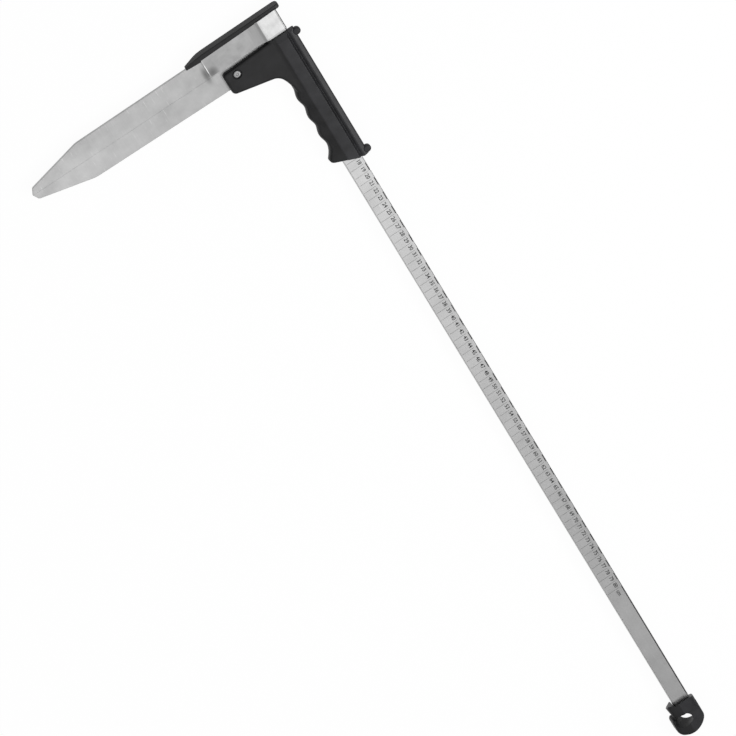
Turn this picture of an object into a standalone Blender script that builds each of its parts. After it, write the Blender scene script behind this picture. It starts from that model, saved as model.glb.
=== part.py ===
"""Tree caliper: a beam with a fixed jaw, and a grip that slides along it with the second jaw.

The tool lies on its back: +Z is the scale side, +Y runs up the beam to the head, -X is the way the jaws
point. Everything is modelled about the zero of the scale, on the axis of the beam, and one empty then sets
the middle of the finished outline on the ground. Sizes are in metres.
"""

import math

import bmesh
import bpy
from mathutils import Matrix, Vector

# Clearances
SEAT_GAP = 0.0003        # between pieces that touch
RUN_GAP = 0.0005         # between the grip's channel and the beam

# Beam: a drawn rectangular tube
BEAM_LENGTH = 1.013
BEAM_WIDTH = 0.020
BEAM_DEPTH = 0.010
BEAM_WALL = 0.0015
BEAM_EDGE = 0.0008

# Jaws: pointed flat bars that close edge to edge
JAW_REACH = 0.2958       # from the beam's axis to the point
JAW_SHOULDER = 0.2317    # from the beam's axis to the start of the point
JAW_ROOT_HEIGHT = 0.0246
JAW_SHOULDER_HEIGHT = 0.0226
JAW_TIP_HEIGHT = 0.0070
JAW_TIP_SLOPE = 0.0034   # lean of the blunt end
JAW_THICKNESS = 0.0030
JAW_EDGE = 0.0004

# Head strap: sheet folded round the beam's top end, one plate each side of the fixed jaw
STRAP_SHEET = 0.0015
STRAP_REACH = 0.0800
STRAP_HEIGHT = 0.0217
STRAP_RISE = 0.0045      # of its lower edge above the measuring edge
STRAP_BEND = 0.0022
STRAP_JOGGLE = 0.0105    # length of the offset between plate and beam
JAW_RIVET_RADIUS = 0.0025
JAW_RIVET_HEAD = 0.0045
JAW_RIVET_DOME = 0.0020
RIVET_FLAT = 0.8          # share of a rivet head's radius before its edge rounds off
DOME_SHOULDER = 0.7       # share of a dome's height that falls at that edge
JAW_RIVET_INSET = 0.0120  # from the strap's left end
JAW_RIVET_SPACING = 0.0320

# Guard along the top of the head
GUARD_REACH = 0.0976
GUARD_NOSE = 0.0165
GUARD_NOSE_TIP = 0.0016
GUARD_OVERHANG = 0.0157  # right of the beam's axis
GUARD_THICKNESS = 0.0046
GUARD_DEPTH = 0.0110
GUARD_ROUND = 0.0024
GUARD_RIM = 0.0007
GUARD_SPIGOT = 0.0140    # depth of the plug in the beam's bore

# Grip: two half shells that meet on the jaws' middle plane
GRIP_LENGTH = 0.16885
GRIP_SLANT = 0.0115      # rise of the bottom end from the beam's right edge to the lobe
GRIP_BACK = 0.0100
RIB_FRONT = 0.0100
RIB_LEFT = 0.0050
RIB_RIGHT = 0.0080
RIB_LEFT_ROUND = 0.0040
RIB_RIGHT_ROUND = 0.0020
SPINE_REACH = 0.0168
SPINE_WIDTH = 0.0046
SPINE_FRONT = 0.0086
SPINE_ROUND = 0.0014
FINGER_REACH = 0.0155
FINGER_BUMP = 0.0011
BUMP_COUNT = 3
BUMP_STEPS = 8           # points of the outline in each bump
BUMPS_START = 0.0622     # below the zero line
BUMPS_MARGIN = 0.0097    # from the last bump to the lobe's curve
LOBE_REACH = 0.0212
LOBE_HEIGHT = 0.0050
EAR_REACH = 0.0696
EAR_FRONT = 0.0070
EAR_END_HEIGHT = 0.0268
EAR_ROOT_HEIGHT = 0.0392
EAR_FILLET = 0.0240
EAR_CORNER = 0.0032
SHELL_WALL = 0.0030
SHELL_RIM_FRONT = 0.0014
SHELL_RIM_BACK = 0.0016

# Round lugs at the spine's ends, and the screws of the grip
BOSS_RADIUS = 0.0043
BOSS_FOOT = 0.0044         # their underside, above the middle plane
SCREW_RADIUS = 0.00125
SCREW_HEAD_RADIUS = 0.00225
SCREW_HEAD_HEIGHT = 0.0018
SCREW_HEAD_DEPTH = 0.0006  # of the head below the back
SCREW_REACH = 0.0050       # into the front shell

# Rivet that holds the sliding jaw in the ear
EAR_RIVET_INSET = 0.0136   # from the ear's left end
EAR_RIVET_DROP = 0.0102    # below the zero line
EAR_RIVET_RADIUS = 0.0025
EAR_RIVET_HEAD = 0.0036
EAR_RIVET_HEAD_HEIGHT = 0.0013
EAR_RIVET_DIMPLE = 0.0016
DIMPLE_FLOOR = 0.0010
EAR_RECESS_RADIUS = 0.0051
EAR_RECESS_DEPTH = 0.0010
WASHER_RADIUS = 0.0048
WASHER_HEIGHT = 0.0010
BACK_RECESS_DEPTH = 0.0040

# Glide pads on the beam's edges, and their adjusters
PAD_THICKNESS = 0.0019
PAD_LENGTH = 0.0164
PAD_WIDTH = 0.0080
PAD_INSET = 0.0034       # from the grip's ends
NUT_SIDE = 0.0070
NUT_THICKNESS = 0.0018
NUT_OFFSET = 0.0014      # from the pad's back to the nut
ADJUSTER_RADIUS = 0.0020
ADJUSTER_SINK = 0.0002
ADJUSTER_SOCKET = 0.0010
ADJUSTER_SOCKET_DEPTH = 0.0016

# Leaf spring that brakes the grip on the beam
SPRING_LENGTH = 0.0440
SPRING_WIDTH = 0.0070
SPRING_SHEET = 0.0005
SPRING_BOW = 0.0017
SPRING_CENTRE = 0.0820   # below the zero line
SPRING_STEPS = 12

# End cap: a socket with a leaning mouth, and a hook that closes round the hanging eye
CAP_LEFT = 0.0190
CAP_RIGHT = 0.0141
CAP_BODY = 0.0157        # length, from the front of the mouth
CAP_DEPTH = 0.0200
CAP_SOCKET = 0.0153      # length of beam inside
CAP_CORNER = 0.0070      # of its section
MOUTH_LEAN_SIDE = 0.18   # slope of the mouth, down to the right
MOUTH_LEAN_BACK = 0.38   # slope of the mouth, down to the back
HOOK_LEFT = 0.0217
HOOK_DEPTH = 0.0160
HOOK_RIM = 0.0030
HOOK_TOP = 0.0147        # its corners, below the mouth
HOOK_RIGHT_CORNER = 0.0352
HOOK_LEFT_CORNER = 0.0407
HOOK_CHIN = 0.0492
HOOK_CHIN_LEFT = 0.0075
HOOK_RIGHT_ROUND = 0.0060
HOOK_LEFT_ROUND = 0.0120
HOOK_TOP_ROUND = 0.0090
EYE_RADIUS = 0.0093
EYE_OFFSET = 0.0054
EYE_DROP = 0.0273
EYE_SLIT = 0.0030
EYE_SLIT_ANGLE = 140.0   # degrees, counter-clockwise from +X

# Screws of the head and the end cap
FIX_RADIUS = 0.0015
FIX_HEAD_RADIUS = 0.0027
FIX_HEAD_HEIGHT = 0.0018
FIX_BITE = 0.0047        # of the head screws into the guard's plug
FIX_SPACING = 0.0100
FIX_DROP = 0.0092        # below the beam's top end
CAP_FIX_DROP = 0.0117    # below the cap's mouth
CAP_FIX_SINK = 0.0024
CAP_FIX_REACH = 0.0010   # past the beam's wall

ARC_STEP = math.radians(15)
ROUND_SIDES = 24
PIN_SIDES = 16
HEX_SIDES = 6
SIDE_SHARE = 0.499       # of a side of an outline that one rounded corner may use
WELD = 0.000002
UNIT = 1.0               # side of the cube that a block is scaled from

# Levels that several pieces share
JAW_FACE = JAW_THICKNESS / 2
EDGE = SEAT_GAP / 2                                # half the gap between the closed jaws
BEAM_X = BEAM_WIDTH / 2
BEAM_Z = BEAM_DEPTH / 2
STRAP_LOW = EDGE + STRAP_RISE
STRAP_HIGH = STRAP_LOW + STRAP_HEIGHT
STRAP_PLATE = JAW_FACE + SEAT_GAP + STRAP_SHEET    # outer face of the plates
STRAP_FRONT = BEAM_Z + SEAT_GAP + STRAP_SHEET      # outer face round the beam
STRAP_SIDE = BEAM_X + SEAT_GAP + STRAP_SHEET
BEAM_TOP = STRAP_HIGH
BEAM_BOTTOM = BEAM_TOP - BEAM_LENGTH
GRIP_TOP = -EDGE
GRIP_BOTTOM = GRIP_TOP - GRIP_LENGTH
LOBE_LOW = GRIP_BOTTOM + GRIP_SLANT
SLANT = GRIP_SLANT / (LOBE_REACH + BEAM_X)
LOBE_CURVE = LOBE_LOW + 2 * LOBE_HEIGHT            # where the finger side starts to run out to the lobe
BUMP_PITCH = (-LOBE_CURVE - BUMPS_MARGIN - BUMPS_START) / BUMP_COUNT
CAP_MOUTH = BEAM_BOTTOM + CAP_SOCKET               # the grip slides down until it meets this
PAD_INNER = BEAM_X + SEAT_GAP
PAD_OUTER = PAD_INNER + PAD_THICKNESS
POCKET_OUTER = PAD_OUTER + SEAT_GAP
NUT_INNER = PAD_OUTER + NUT_OFFSET + SEAT_GAP
GUARD_LOW = STRAP_HIGH + SEAT_GAP
GUARD_HIGH = GUARD_LOW + GUARD_THICKNESS
SLOT_END = POCKET_OUTER + SHELL_WALL               # where the sliding jaw stops, left of the axis
SLOT_FLOOR = EDGE + JAW_ROOT_HEIGHT + SEAT_GAP
BACK = -max(GRIP_BACK, CAP_DEPTH / 2)              # what the tool lies on
BOSS_X = SPINE_REACH + SEAT_GAP
BOSS_RIGHT = BOSS_X + BOSS_RADIUS

FINISHES = {
    "anodised_aluminium": ((0.62, 0.62, 0.62), 0.35, 1.0),
    "bright_steel": ((0.55, 0.55, 0.56), 0.30, 1.0),
    "black_moulding": ((0.022, 0.022, 0.023), 0.50, 0.0),
    "acetal": ((0.75, 0.74, 0.70), 0.45, 0.0),
    "brass": ((0.60, 0.44, 0.18), 0.35, 1.0),
}


def rounded(corners):
    """A closed outline through (x, y, radius) corners, each turned by an arc that its sides can hold."""
    outline = []
    count = len(corners)
    for index, (x, y, radius) in enumerate(corners):
        corner = Vector((x, y))
        before = Vector(corners[index - 1][:2]) - corner
        after = Vector(corners[(index + 1) % count][:2]) - corner
        turn = math.pi - before.angle(after)
        if radius <= 0 or turn < math.radians(1):
            outline.append(corner)
            continue
        room = SIDE_SHARE * min(before.length, after.length)
        tangent = min(radius * math.tan(turn / 2), room)
        radius = tangent / math.tan(turn / 2)
        start = corner + before.normalized() * tangent
        middle = (before.normalized() + after.normalized()).normalized()
        centre = corner + middle * (radius / math.cos(turn / 2))
        sweep = math.copysign(turn, (-before).cross(after))
        steps = max(2, round(turn / ARC_STEP))
        arm = start - centre
        for step in range(steps + 1):
            outline.append(centre + Matrix.Rotation(sweep * step / steps, 2) @ arm)
    return outline


def hook_outline():
    """The hook from the front: straight down on the right, a chin, and a full round on the left."""
    return rounded([
        (CAP_RIGHT, CAP_MOUTH - HOOK_TOP, 0.0),
        (CAP_RIGHT, CAP_MOUTH - HOOK_RIGHT_CORNER, HOOK_RIGHT_ROUND),
        (-HOOK_CHIN_LEFT, CAP_MOUTH - HOOK_CHIN, HOOK_LEFT_ROUND),
        (-HOOK_LEFT, CAP_MOUTH - HOOK_LEFT_CORNER, HOOK_LEFT_ROUND),
        (-HOOK_LEFT, CAP_MOUTH - HOOK_TOP, HOOK_TOP_ROUND)])


def clear_scene():
    """Empty the file, and add the two collections and the two empties that carry the pieces."""
    for old in list(bpy.data.objects):
        bpy.data.objects.remove(old, do_unlink=True)
    made = []
    for label in ("tree_caliper", "tree_caliper_cutters"):
        collection = bpy.data.collections.new(label)
        bpy.context.scene.collection.children.link(collection)
        made.append(collection)
    zero = bpy.data.objects.new("caliper_zero", None)
    lowest = min(point.y for point in hook_outline())
    zero.location = ((JAW_REACH - BOSS_RIGHT) / 2, -(GUARD_HIGH + lowest) / 2, -BACK)
    carriage = bpy.data.objects.new("slide_axis", None)
    carriage.parent = zero
    for empty in (zero, carriage):
        made[0].objects.link(empty)
    return made[0], made[1], zero, carriage


PIECES, CUTTERS, ZERO, CARRIAGE = clear_scene()


def piece(name, mesh, finish, parent=ZERO):
    """A named piece with its own material."""
    colour, roughness, metallic = FINISHES[finish]
    material = bpy.data.materials.new(name + "_" + finish)
    material.use_nodes = True
    shader = material.node_tree.nodes["Principled BSDF"]
    shader.inputs["Base Color"].default_value = (*colour, 1.0)
    shader.inputs["Roughness"].default_value = roughness
    shader.inputs["Metallic"].default_value = metallic
    mesh.name = name
    mesh.materials.clear()
    mesh.materials.append(material)
    made = bpy.data.objects.new(name, mesh)
    made.parent = parent
    PIECES.objects.link(made)
    return made


def tool(mesh):
    """A hidden shape that is cut from a piece or joined to it."""
    made = bpy.data.objects.new("tool", mesh)
    made.parent = ZERO
    made.hide_render = True
    made.display_type = "WIRE"
    CUTTERS.objects.link(made)
    return made


def combine(target, operation, *meshes):
    """Cut meshes from a piece, or join them to it, each with an exact Boolean."""
    for mesh in meshes:
        change = target.modifiers.new(operation.lower(), "BOOLEAN")
        change.operation = operation
        change.solver = "EXACT"
        change.object = tool(mesh)


def cut(target, *meshes):
    combine(target, "DIFFERENCE", *meshes)


def join(target, *meshes):
    combine(target, "UNION", *meshes)


def mesh_of(shape):
    """Turn a bmesh into a mesh whose faces point out."""
    bmesh.ops.recalc_face_normals(shape, faces=shape.faces)
    mesh = bpy.data.meshes.new("shape")
    shape.to_mesh(mesh)
    shape.free()
    return mesh


def block(low, high):
    """A box between two corners."""
    low, high = Vector(low), Vector(high)
    shape = bmesh.new()
    place = Matrix.LocRotScale((low + high) / 2, None, (high - low) / UNIT)
    bmesh.ops.create_cube(shape, size=UNIT, matrix=place)
    return mesh_of(shape)


def rod(radius, start, end, sides=PIN_SIDES, end_radius=None):
    """A cylinder or cone from one point to another."""
    start, end = Vector(start), Vector(end)
    along = end - start
    turn = along.to_track_quat("Z", "Y").to_matrix().to_4x4()
    shape = bmesh.new()
    bmesh.ops.create_cone(
        shape, cap_ends=True, segments=sides, radius1=radius,
        radius2=radius if end_radius is None else end_radius, depth=along.length,
        matrix=Matrix.Translation((start + end) / 2) @ turn)
    return mesh_of(shape)


def turned(profile, x, y):
    """A solid of revolution about an upright axis: (radius, z) pairs from the top, down the outside."""
    shape = bmesh.new()
    points = [shape.verts.new((radius, 0.0, z)) for radius, z in profile]
    for first, second in zip(points, points[1:]):
        shape.edges.new((first, second))
    mesh = bpy.data.meshes.new("profile")
    shape.to_mesh(mesh)
    shape.free()
    carrier = bpy.data.objects.new("profile", mesh)
    PIECES.objects.link(carrier)
    screw = carrier.modifiers.new("turn", "SCREW")
    screw.steps = ROUND_SIDES
    screw.render_steps = ROUND_SIDES
    screw.use_merge_vertices = True
    screw.merge_threshold = WELD
    solid = baked(carrier)
    solid.transform(Matrix.Translation((x, y, 0.0)))
    return solid


def baked(carrier):
    """The evaluated mesh of a helper object, welded, with the helper removed."""
    graph = bpy.context.evaluated_depsgraph_get()
    mesh = bpy.data.meshes.new_from_object(carrier.evaluated_get(graph))
    mesh.transform(carrier.matrix_world)
    source = carrier.data
    is_curve = carrier.type == "CURVE"
    bpy.data.objects.remove(carrier, do_unlink=True)
    if is_curve:
        bpy.data.curves.remove(source)
    shape = bmesh.new()
    shape.from_mesh(mesh)
    bpy.data.meshes.remove(mesh)
    bmesh.ops.remove_doubles(shape, verts=shape.verts, dist=WELD)
    return mesh_of(shape)


def plate(outline, low, high, rim=0.0, rim_steps=1):
    """A flat outline in X and Y, filled from one height to another, with rounded rims."""
    curve = bpy.data.curves.new("outline", "CURVE")
    curve.dimensions = "2D"
    curve.fill_mode = "BOTH"
    curve.extrude = (high - low) / 2 - rim
    curve.bevel_depth = rim
    curve.bevel_resolution = rim_steps
    curve.offset = -rim
    spline = curve.splines.new("POLY")
    spline.points.add(len(outline) - 1)
    for point, place in zip(spline.points, outline):
        point.co = (place[0], place[1], 0.0, 1.0)
    spline.use_cyclic_u = True
    carrier = bpy.data.objects.new("outline", curve)
    PIECES.objects.link(carrier)
    solid = baked(carrier)
    solid.transform(Matrix.Translation((0.0, 0.0, (low + high) / 2)))
    return solid


def along_beam(section, low, high):
    """A section in X and Z, run along Y."""
    solid = plate(section, -high, -low)
    solid.transform(Matrix.Rotation(math.radians(90), 4, "X"))
    return solid


def folded(path, low, high, sheet):
    """A strip of sheet whose middle line is a path in X and Z, between two heights along Y."""
    shape = bmesh.new()
    points = [shape.verts.new((x, low, z)) for x, z in path]
    edges = [shape.edges.new(pair) for pair in zip(points, points[1:])]
    made = bmesh.ops.extrude_edge_only(shape, edges=edges)["geom"]
    moved = [item for item in made if isinstance(item, bmesh.types.BMVert)]
    bmesh.ops.translate(shape, verts=moved, vec=(0.0, high - low, 0.0))
    mesh = bpy.data.meshes.new("strip")
    shape.to_mesh(mesh)
    shape.free()
    carrier = bpy.data.objects.new("strip", mesh)
    PIECES.objects.link(carrier)
    thick = carrier.modifiers.new("sheet", "SOLIDIFY")
    thick.thickness = sheet
    thick.offset = 0.0
    thick.use_even_offset = True
    return baked(carrier)


def smooth(made, angle=30):
    """Shade a piece smooth, with edges kept sharp past an angle."""
    made.data.shade_smooth()
    made.data.set_sharp_from_angle(angle=math.radians(angle))


def make_beam():
    section = rounded([
        (BEAM_X, BEAM_Z, BEAM_EDGE), (-BEAM_X, BEAM_Z, BEAM_EDGE),
        (-BEAM_X, -BEAM_Z, BEAM_EDGE), (BEAM_X, -BEAM_Z, BEAM_EDGE)])
    beam = piece("beam", along_beam(section, BEAM_BOTTOM, BEAM_TOP), "anodised_aluminium")
    bore_x, bore_z = BEAM_X - BEAM_WALL, BEAM_Z - BEAM_WALL
    past = BEAM_WALL
    cut(beam, block((-bore_x, BEAM_BOTTOM - past, -bore_z), (bore_x, BEAM_TOP + past, bore_z)))
    for x, y in (*head_fix_places(), (0.0, CAP_MOUTH - CAP_FIX_DROP)):
        cut(beam, rod(FIX_RADIUS + SEAT_GAP, (x, y, -BEAM_Z - past), (x, y, -bore_z + past / 2)))


def jaw_outline(side, root):
    """Half of the point: side is +1 above the zero line and -1 below it, root is its inner end."""
    corners = [
        (-root, EDGE), (-JAW_REACH, EDGE), (-JAW_REACH + JAW_TIP_SLOPE, EDGE + JAW_TIP_HEIGHT),
        (-JAW_SHOULDER, EDGE + JAW_SHOULDER_HEIGHT), (-STRAP_REACH, EDGE + JAW_ROOT_HEIGHT),
        (-root, EDGE + JAW_ROOT_HEIGHT)]
    return [Vector((x, side * y)) for x, y in corners]


def make_fixed_jaw():
    outline = jaw_outline(1, BEAM_X + SEAT_GAP)
    jaw = piece("fixed_jaw", plate(outline, -JAW_FACE, JAW_FACE, JAW_EDGE), "anodised_aluminium")
    for x, y in jaw_rivet_places():
        cut(jaw, rod(JAW_RIVET_RADIUS + SEAT_GAP, (x, y, -STRAP_FRONT), (x, y, STRAP_FRONT)))


def jaw_rivet_places():
    first = -STRAP_REACH + JAW_RIVET_INSET
    middle = STRAP_LOW + STRAP_HEIGHT / 2 - SEAT_GAP
    return [(first, middle), (first + JAW_RIVET_SPACING, middle)]


def head_fix_places():
    return [(side * FIX_SPACING / 2, BEAM_TOP - FIX_DROP) for side in (-1, 1)]


def make_head_strap():
    half = STRAP_SHEET / 2
    joggle_end = -STRAP_SIDE - half
    joggle_start = joggle_end - STRAP_JOGGLE
    front = [
        (-STRAP_REACH, STRAP_PLATE - half), (joggle_start, STRAP_PLATE - half),
        (joggle_end, STRAP_FRONT - half)]
    bend = STRAP_BEND - half
    centre = Vector((STRAP_SIDE - half - bend, STRAP_FRONT - half - bend))
    steps = round(math.radians(90) / ARC_STEP)
    for step in range(steps + 1):
        turn = math.radians(90) * (1 - step / steps)
        front.append((centre.x + bend * math.cos(turn), centre.y + bend * math.sin(turn)))
    path = front + [(x, -z) for x, z in reversed(front)]
    strap = piece("head_strap", folded(path, STRAP_LOW, STRAP_HIGH, STRAP_SHEET), "bright_steel")
    for x, y in jaw_rivet_places():
        cut(strap, rod(JAW_RIVET_RADIUS + SEAT_GAP, (x, y, -STRAP_FRONT), (x, y, STRAP_FRONT)))
    for x, y in head_fix_places():
        cut(strap, rod(FIX_RADIUS + SEAT_GAP, (x, y, -STRAP_FRONT - half), (x, y, -BEAM_Z)))


def make_jaw_rivets():
    """Flush at the front, domed at the back."""
    seat = -STRAP_PLATE - SEAT_GAP
    for number, (x, y) in enumerate(jaw_rivet_places(), 1):
        profile = [
            (0.0, STRAP_PLATE), (JAW_RIVET_RADIUS, STRAP_PLATE), (JAW_RIVET_RADIUS, seat),
            (JAW_RIVET_HEAD, seat), (JAW_RIVET_HEAD * RIVET_FLAT, seat - JAW_RIVET_DOME * DOME_SHOULDER),
            (0.0, seat - JAW_RIVET_DOME)]
        smooth(piece("fixed_jaw_rivet_%d" % number, turned(profile, x, y), "bright_steel"))


def make_top_guard():
    nose_floor = EDGE + JAW_ROOT_HEIGHT + SEAT_GAP
    step = -STRAP_REACH - SEAT_GAP
    outline = rounded([
        (-GUARD_REACH, nose_floor, 0.0), (step, nose_floor, 0.0), (step, GUARD_LOW, 0.0),
        (GUARD_OVERHANG, GUARD_LOW, GUARD_ROUND), (GUARD_OVERHANG, GUARD_HIGH, GUARD_ROUND),
        (-GUARD_REACH + GUARD_NOSE, GUARD_HIGH, GUARD_NOSE),
        (-GUARD_REACH, nose_floor + GUARD_NOSE_TIP, 0.0)])
    solid = plate(outline, -GUARD_DEPTH / 2, GUARD_DEPTH / 2, GUARD_RIM)
    guard = piece("top_guard", solid, "black_moulding")
    inside = (GUARD_LOW + GUARD_HIGH) / 2
    tongue_end = -STRAP_SIDE - STRAP_SHEET / 2 - STRAP_JOGGLE
    plug_x = BEAM_X - BEAM_WALL - SEAT_GAP
    plug_z = BEAM_Z - BEAM_WALL - SEAT_GAP
    join(guard,
         block((-STRAP_REACH, nose_floor, -JAW_FACE), (tongue_end, inside, JAW_FACE)),
         block((-plug_x, BEAM_TOP - GUARD_SPIGOT, -plug_z), (plug_x, inside, plug_z)))
    for x, y in head_fix_places():
        reach = FIX_BITE + SEAT_GAP - plug_z
        cut(guard, rod(FIX_RADIUS + SEAT_GAP, (x, y, -BEAM_Z), (x, y, reach)))


def make_fixing(name, x, y, seat, tip):
    """A cheese-head screw that enters from the back, with a slot in its head."""
    profile = [
        (0.0, tip), (FIX_RADIUS, tip), (FIX_RADIUS, seat), (FIX_HEAD_RADIUS, seat),
        (FIX_HEAD_RADIUS, seat - FIX_HEAD_HEIGHT), (0.0, seat - FIX_HEAD_HEIGHT)]
    screw = piece(name, turned(profile, x, y), "bright_steel")
    smooth(screw)
    slot_half = FIX_RADIUS / 4
    floor = seat - FIX_HEAD_HEIGHT / 2
    cut(screw, block((x - FIX_RADIUS, y - slot_half, floor - FIX_HEAD_HEIGHT),
                     (x + FIX_RADIUS, y + slot_half, floor)))


def make_fixings():
    for number, (x, y) in enumerate(head_fix_places(), 1):
        tip = FIX_BITE - (BEAM_Z - BEAM_WALL - SEAT_GAP)
        make_fixing("head_screw_%d" % number, x, y, -STRAP_FRONT - SEAT_GAP, tip)
    seat = -CAP_DEPTH / 2 + CAP_FIX_SINK - SEAT_GAP
    make_fixing("cap_screw", 0.0, CAP_MOUTH - CAP_FIX_DROP, seat, -BEAM_Z + BEAM_WALL + CAP_FIX_REACH)


def make_end_cap():
    depth = CAP_DEPTH / 2
    section = rounded([
        (CAP_RIGHT, depth, CAP_CORNER), (-CAP_LEFT, depth, CAP_CORNER),
        (-CAP_LEFT, -depth, CAP_CORNER), (CAP_RIGHT, -depth, CAP_CORNER)])
    crest = CAP_MOUTH + CAP_LEFT * MOUTH_LEAN_SIDE
    body = along_beam(section, CAP_MOUTH - CAP_BODY, crest)
    cap = piece("end_hook_cap", body, "black_moulding")
    join(cap, plate(hook_outline(), -HOOK_DEPTH / 2, HOOK_DEPTH / 2, HOOK_RIM, 2))
    upright = Vector((0.0, 1.0, 0.0))
    lean = upright.rotation_difference(Vector((MOUTH_LEAN_SIDE, 1.0, -MOUTH_LEAN_BACK)))
    over = block((-2 * CAP_LEFT, 0.0, -2 * CAP_DEPTH), (2 * CAP_LEFT, CAP_BODY, CAP_DEPTH))
    over.transform(Matrix.Translation((0.0, CAP_MOUTH, depth)) @ lean.to_matrix().to_4x4())
    eye = Vector((-EYE_OFFSET, CAP_MOUTH - EYE_DROP, 0.0))
    through = Vector((0.0, 0.0, CAP_DEPTH))
    slit_turn = Matrix.Rotation(math.radians(EYE_SLIT_ANGLE), 4, "Z")
    slit = block((0.0, -EYE_SLIT / 2, -CAP_DEPTH), (2 * HOOK_LEFT, EYE_SLIT / 2, CAP_DEPTH))
    slit.transform(Matrix.Translation(eye) @ slit_turn)
    socket_x, socket_z = BEAM_X + SEAT_GAP, BEAM_Z + SEAT_GAP
    x, y = 0.0, CAP_MOUTH - CAP_FIX_DROP
    cut(cap,
        over, rod(EYE_RADIUS, eye - through, eye + through, ROUND_SIDES), slit,
        block((-socket_x, BEAM_BOTTOM - SEAT_GAP, -socket_z), (socket_x, CAP_MOUTH + CAP_BODY, socket_z)),
        rod(FIX_RADIUS + SEAT_GAP, (x, y, -CAP_DEPTH), (x, y, -BEAM_Z)),
        rod(FIX_HEAD_RADIUS + SEAT_GAP, (x, y, -CAP_DEPTH), (x, y, -depth + CAP_FIX_SINK), ROUND_SIDES))


def make_sliding_jaw():
    outline = jaw_outline(-1, SLOT_END + SEAT_GAP)
    solid = plate(outline, -JAW_FACE, JAW_FACE, JAW_EDGE)
    jaw = piece("sliding_jaw", solid, "anodised_aluminium", CARRIAGE)
    x, y = ear_rivet_place()
    cut(jaw, rod(EAR_RIVET_RADIUS + SEAT_GAP, (x, y, -GRIP_BACK), (x, y, GRIP_BACK), ROUND_SIDES))


def ear_rivet_place():
    return -EAR_REACH + EAR_RIVET_INSET, -EAR_RIVET_DROP


def slant_height(x):
    """Where the slanted bottom end lies, left of the beam's right edge."""
    return GRIP_BOTTOM + (BEAM_X - x) * SLANT


def boss_places():
    """The lugs at the top and the bottom of the spine."""
    return [(BOSS_X, GRIP_TOP - BOSS_RADIUS), (BOSS_X, GRIP_BOTTOM + BOSS_RADIUS)]


def screw_places():
    """Two in the spine, clear of the pads, and one in the lobe at the bottom of the finger side."""
    spine_x = (BEAM_X + RUN_GAP + SPINE_REACH) / 2
    lobe_x = -LOBE_REACH + BOSS_RADIUS
    clear = SEAT_GAP + SCREW_HEAD_RADIUS + SHELL_WALL
    return [(spine_x, pad_spans()["upper"][0] - clear), (spine_x, pad_spans()["lower"][1] + clear),
            (lobe_x, slant_height(lobe_x) + BOSS_RADIUS)]


def grip_outline():
    """The grip from the front: ear, finger bumps, lobe and straight spine."""
    recess = -FINGER_REACH + FINGER_BUMP
    bumps = []
    for step in range(BUMP_COUNT * BUMP_STEPS + 1):
        along = step / BUMP_STEPS
        reach = FINGER_REACH - FINGER_BUMP * math.cos(2 * math.pi * along)
        bumps.append((-reach, -BUMPS_START - BUMP_PITCH * along, 0.0))
    return rounded([
        (-EAR_REACH, GRIP_TOP, EAR_CORNER), (-EAR_REACH, -EAR_END_HEIGHT, EAR_CORNER),
        (recess, -EAR_ROOT_HEIGHT, EAR_FILLET), *bumps,
        (recess, LOBE_CURVE, LOBE_HEIGHT),
        (-LOBE_REACH, LOBE_LOW + LOBE_HEIGHT, BOSS_RADIUS), (-LOBE_REACH, GRIP_BOTTOM, 0.0),
        (SPINE_REACH, GRIP_BOTTOM, EAR_CORNER), (SPINE_REACH, GRIP_TOP, EAR_CORNER)])


def under_slant():
    """Everything under the slanted bottom end."""
    left, right = -2 * LOBE_REACH, 2 * BEAM_X
    corners = [(left, slant_height(left)), (left, slant_height(right)), (right, slant_height(right))]
    return plate(corners, -2 * GRIP_BACK, 2 * GRIP_BACK)


def pad_spans():
    """Where the upper and lower pads lie along the grip, as (low, high) pairs."""
    top = GRIP_TOP - PAD_INSET
    bottom = LOBE_LOW + PAD_INSET
    return {"upper": (top - PAD_LENGTH, top), "lower": (bottom, bottom + PAD_LENGTH)}


def adjuster_height(span):
    """An adjuster presses on its pad's middle."""
    return (span[0] + span[1]) / 2


def hollow(shell):
    """The spaces that both shells share: beam, jaw, pads, nuts, adjusters, rivet."""
    past = SHELL_WALL
    channel_x, channel_z = BEAM_X + RUN_GAP, BEAM_Z + RUN_GAP
    slot_z = JAW_FACE + SEAT_GAP
    cut(shell,
        under_slant(),
        block((-channel_x, GRIP_BOTTOM - past, -channel_z), (channel_x, GRIP_TOP + past, channel_z)),
        block((-EAR_REACH - past, -SLOT_FLOOR, -slot_z), (-SLOT_END, GRIP_TOP + past, slot_z)))
    pad_z = PAD_WIDTH / 2 + SEAT_GAP
    nut_half = NUT_SIDE / 2 + SEAT_GAP
    for low, high in pad_spans().values():
        y = adjuster_height((low, high))
        cut(shell,
            block((-POCKET_OUTER, low - SEAT_GAP, -pad_z), (-BEAM_X, high + SEAT_GAP, pad_z)),
            block((BEAM_X, low - SEAT_GAP, -pad_z), (POCKET_OUTER, high + SEAT_GAP, pad_z)),
            block((NUT_INNER - SEAT_GAP, y - nut_half, -nut_half),
                  (NUT_INNER + NUT_THICKNESS + SEAT_GAP, y + nut_half, nut_half)),
            rod(ADJUSTER_RADIUS + SEAT_GAP, (PAD_OUTER, y, 0.0), (SPINE_REACH + past, y, 0.0)))
    x, y = ear_rivet_place()
    reach = 2 * GRIP_BACK
    cut(shell, rod(EAR_RIVET_RADIUS + SEAT_GAP, (x, y, -reach), (x, y, reach), ROUND_SIDES))


def below(height):
    """Everything under a height."""
    side = 2 * EAR_REACH
    return block((-side, 2 * GRIP_BOTTOM, height - side), (side, side, height))


def above(height):
    """Everything over a height."""
    side = 2 * EAR_REACH
    return block((-side, 2 * GRIP_BOTTOM, height), (side, side, height + side))


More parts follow.
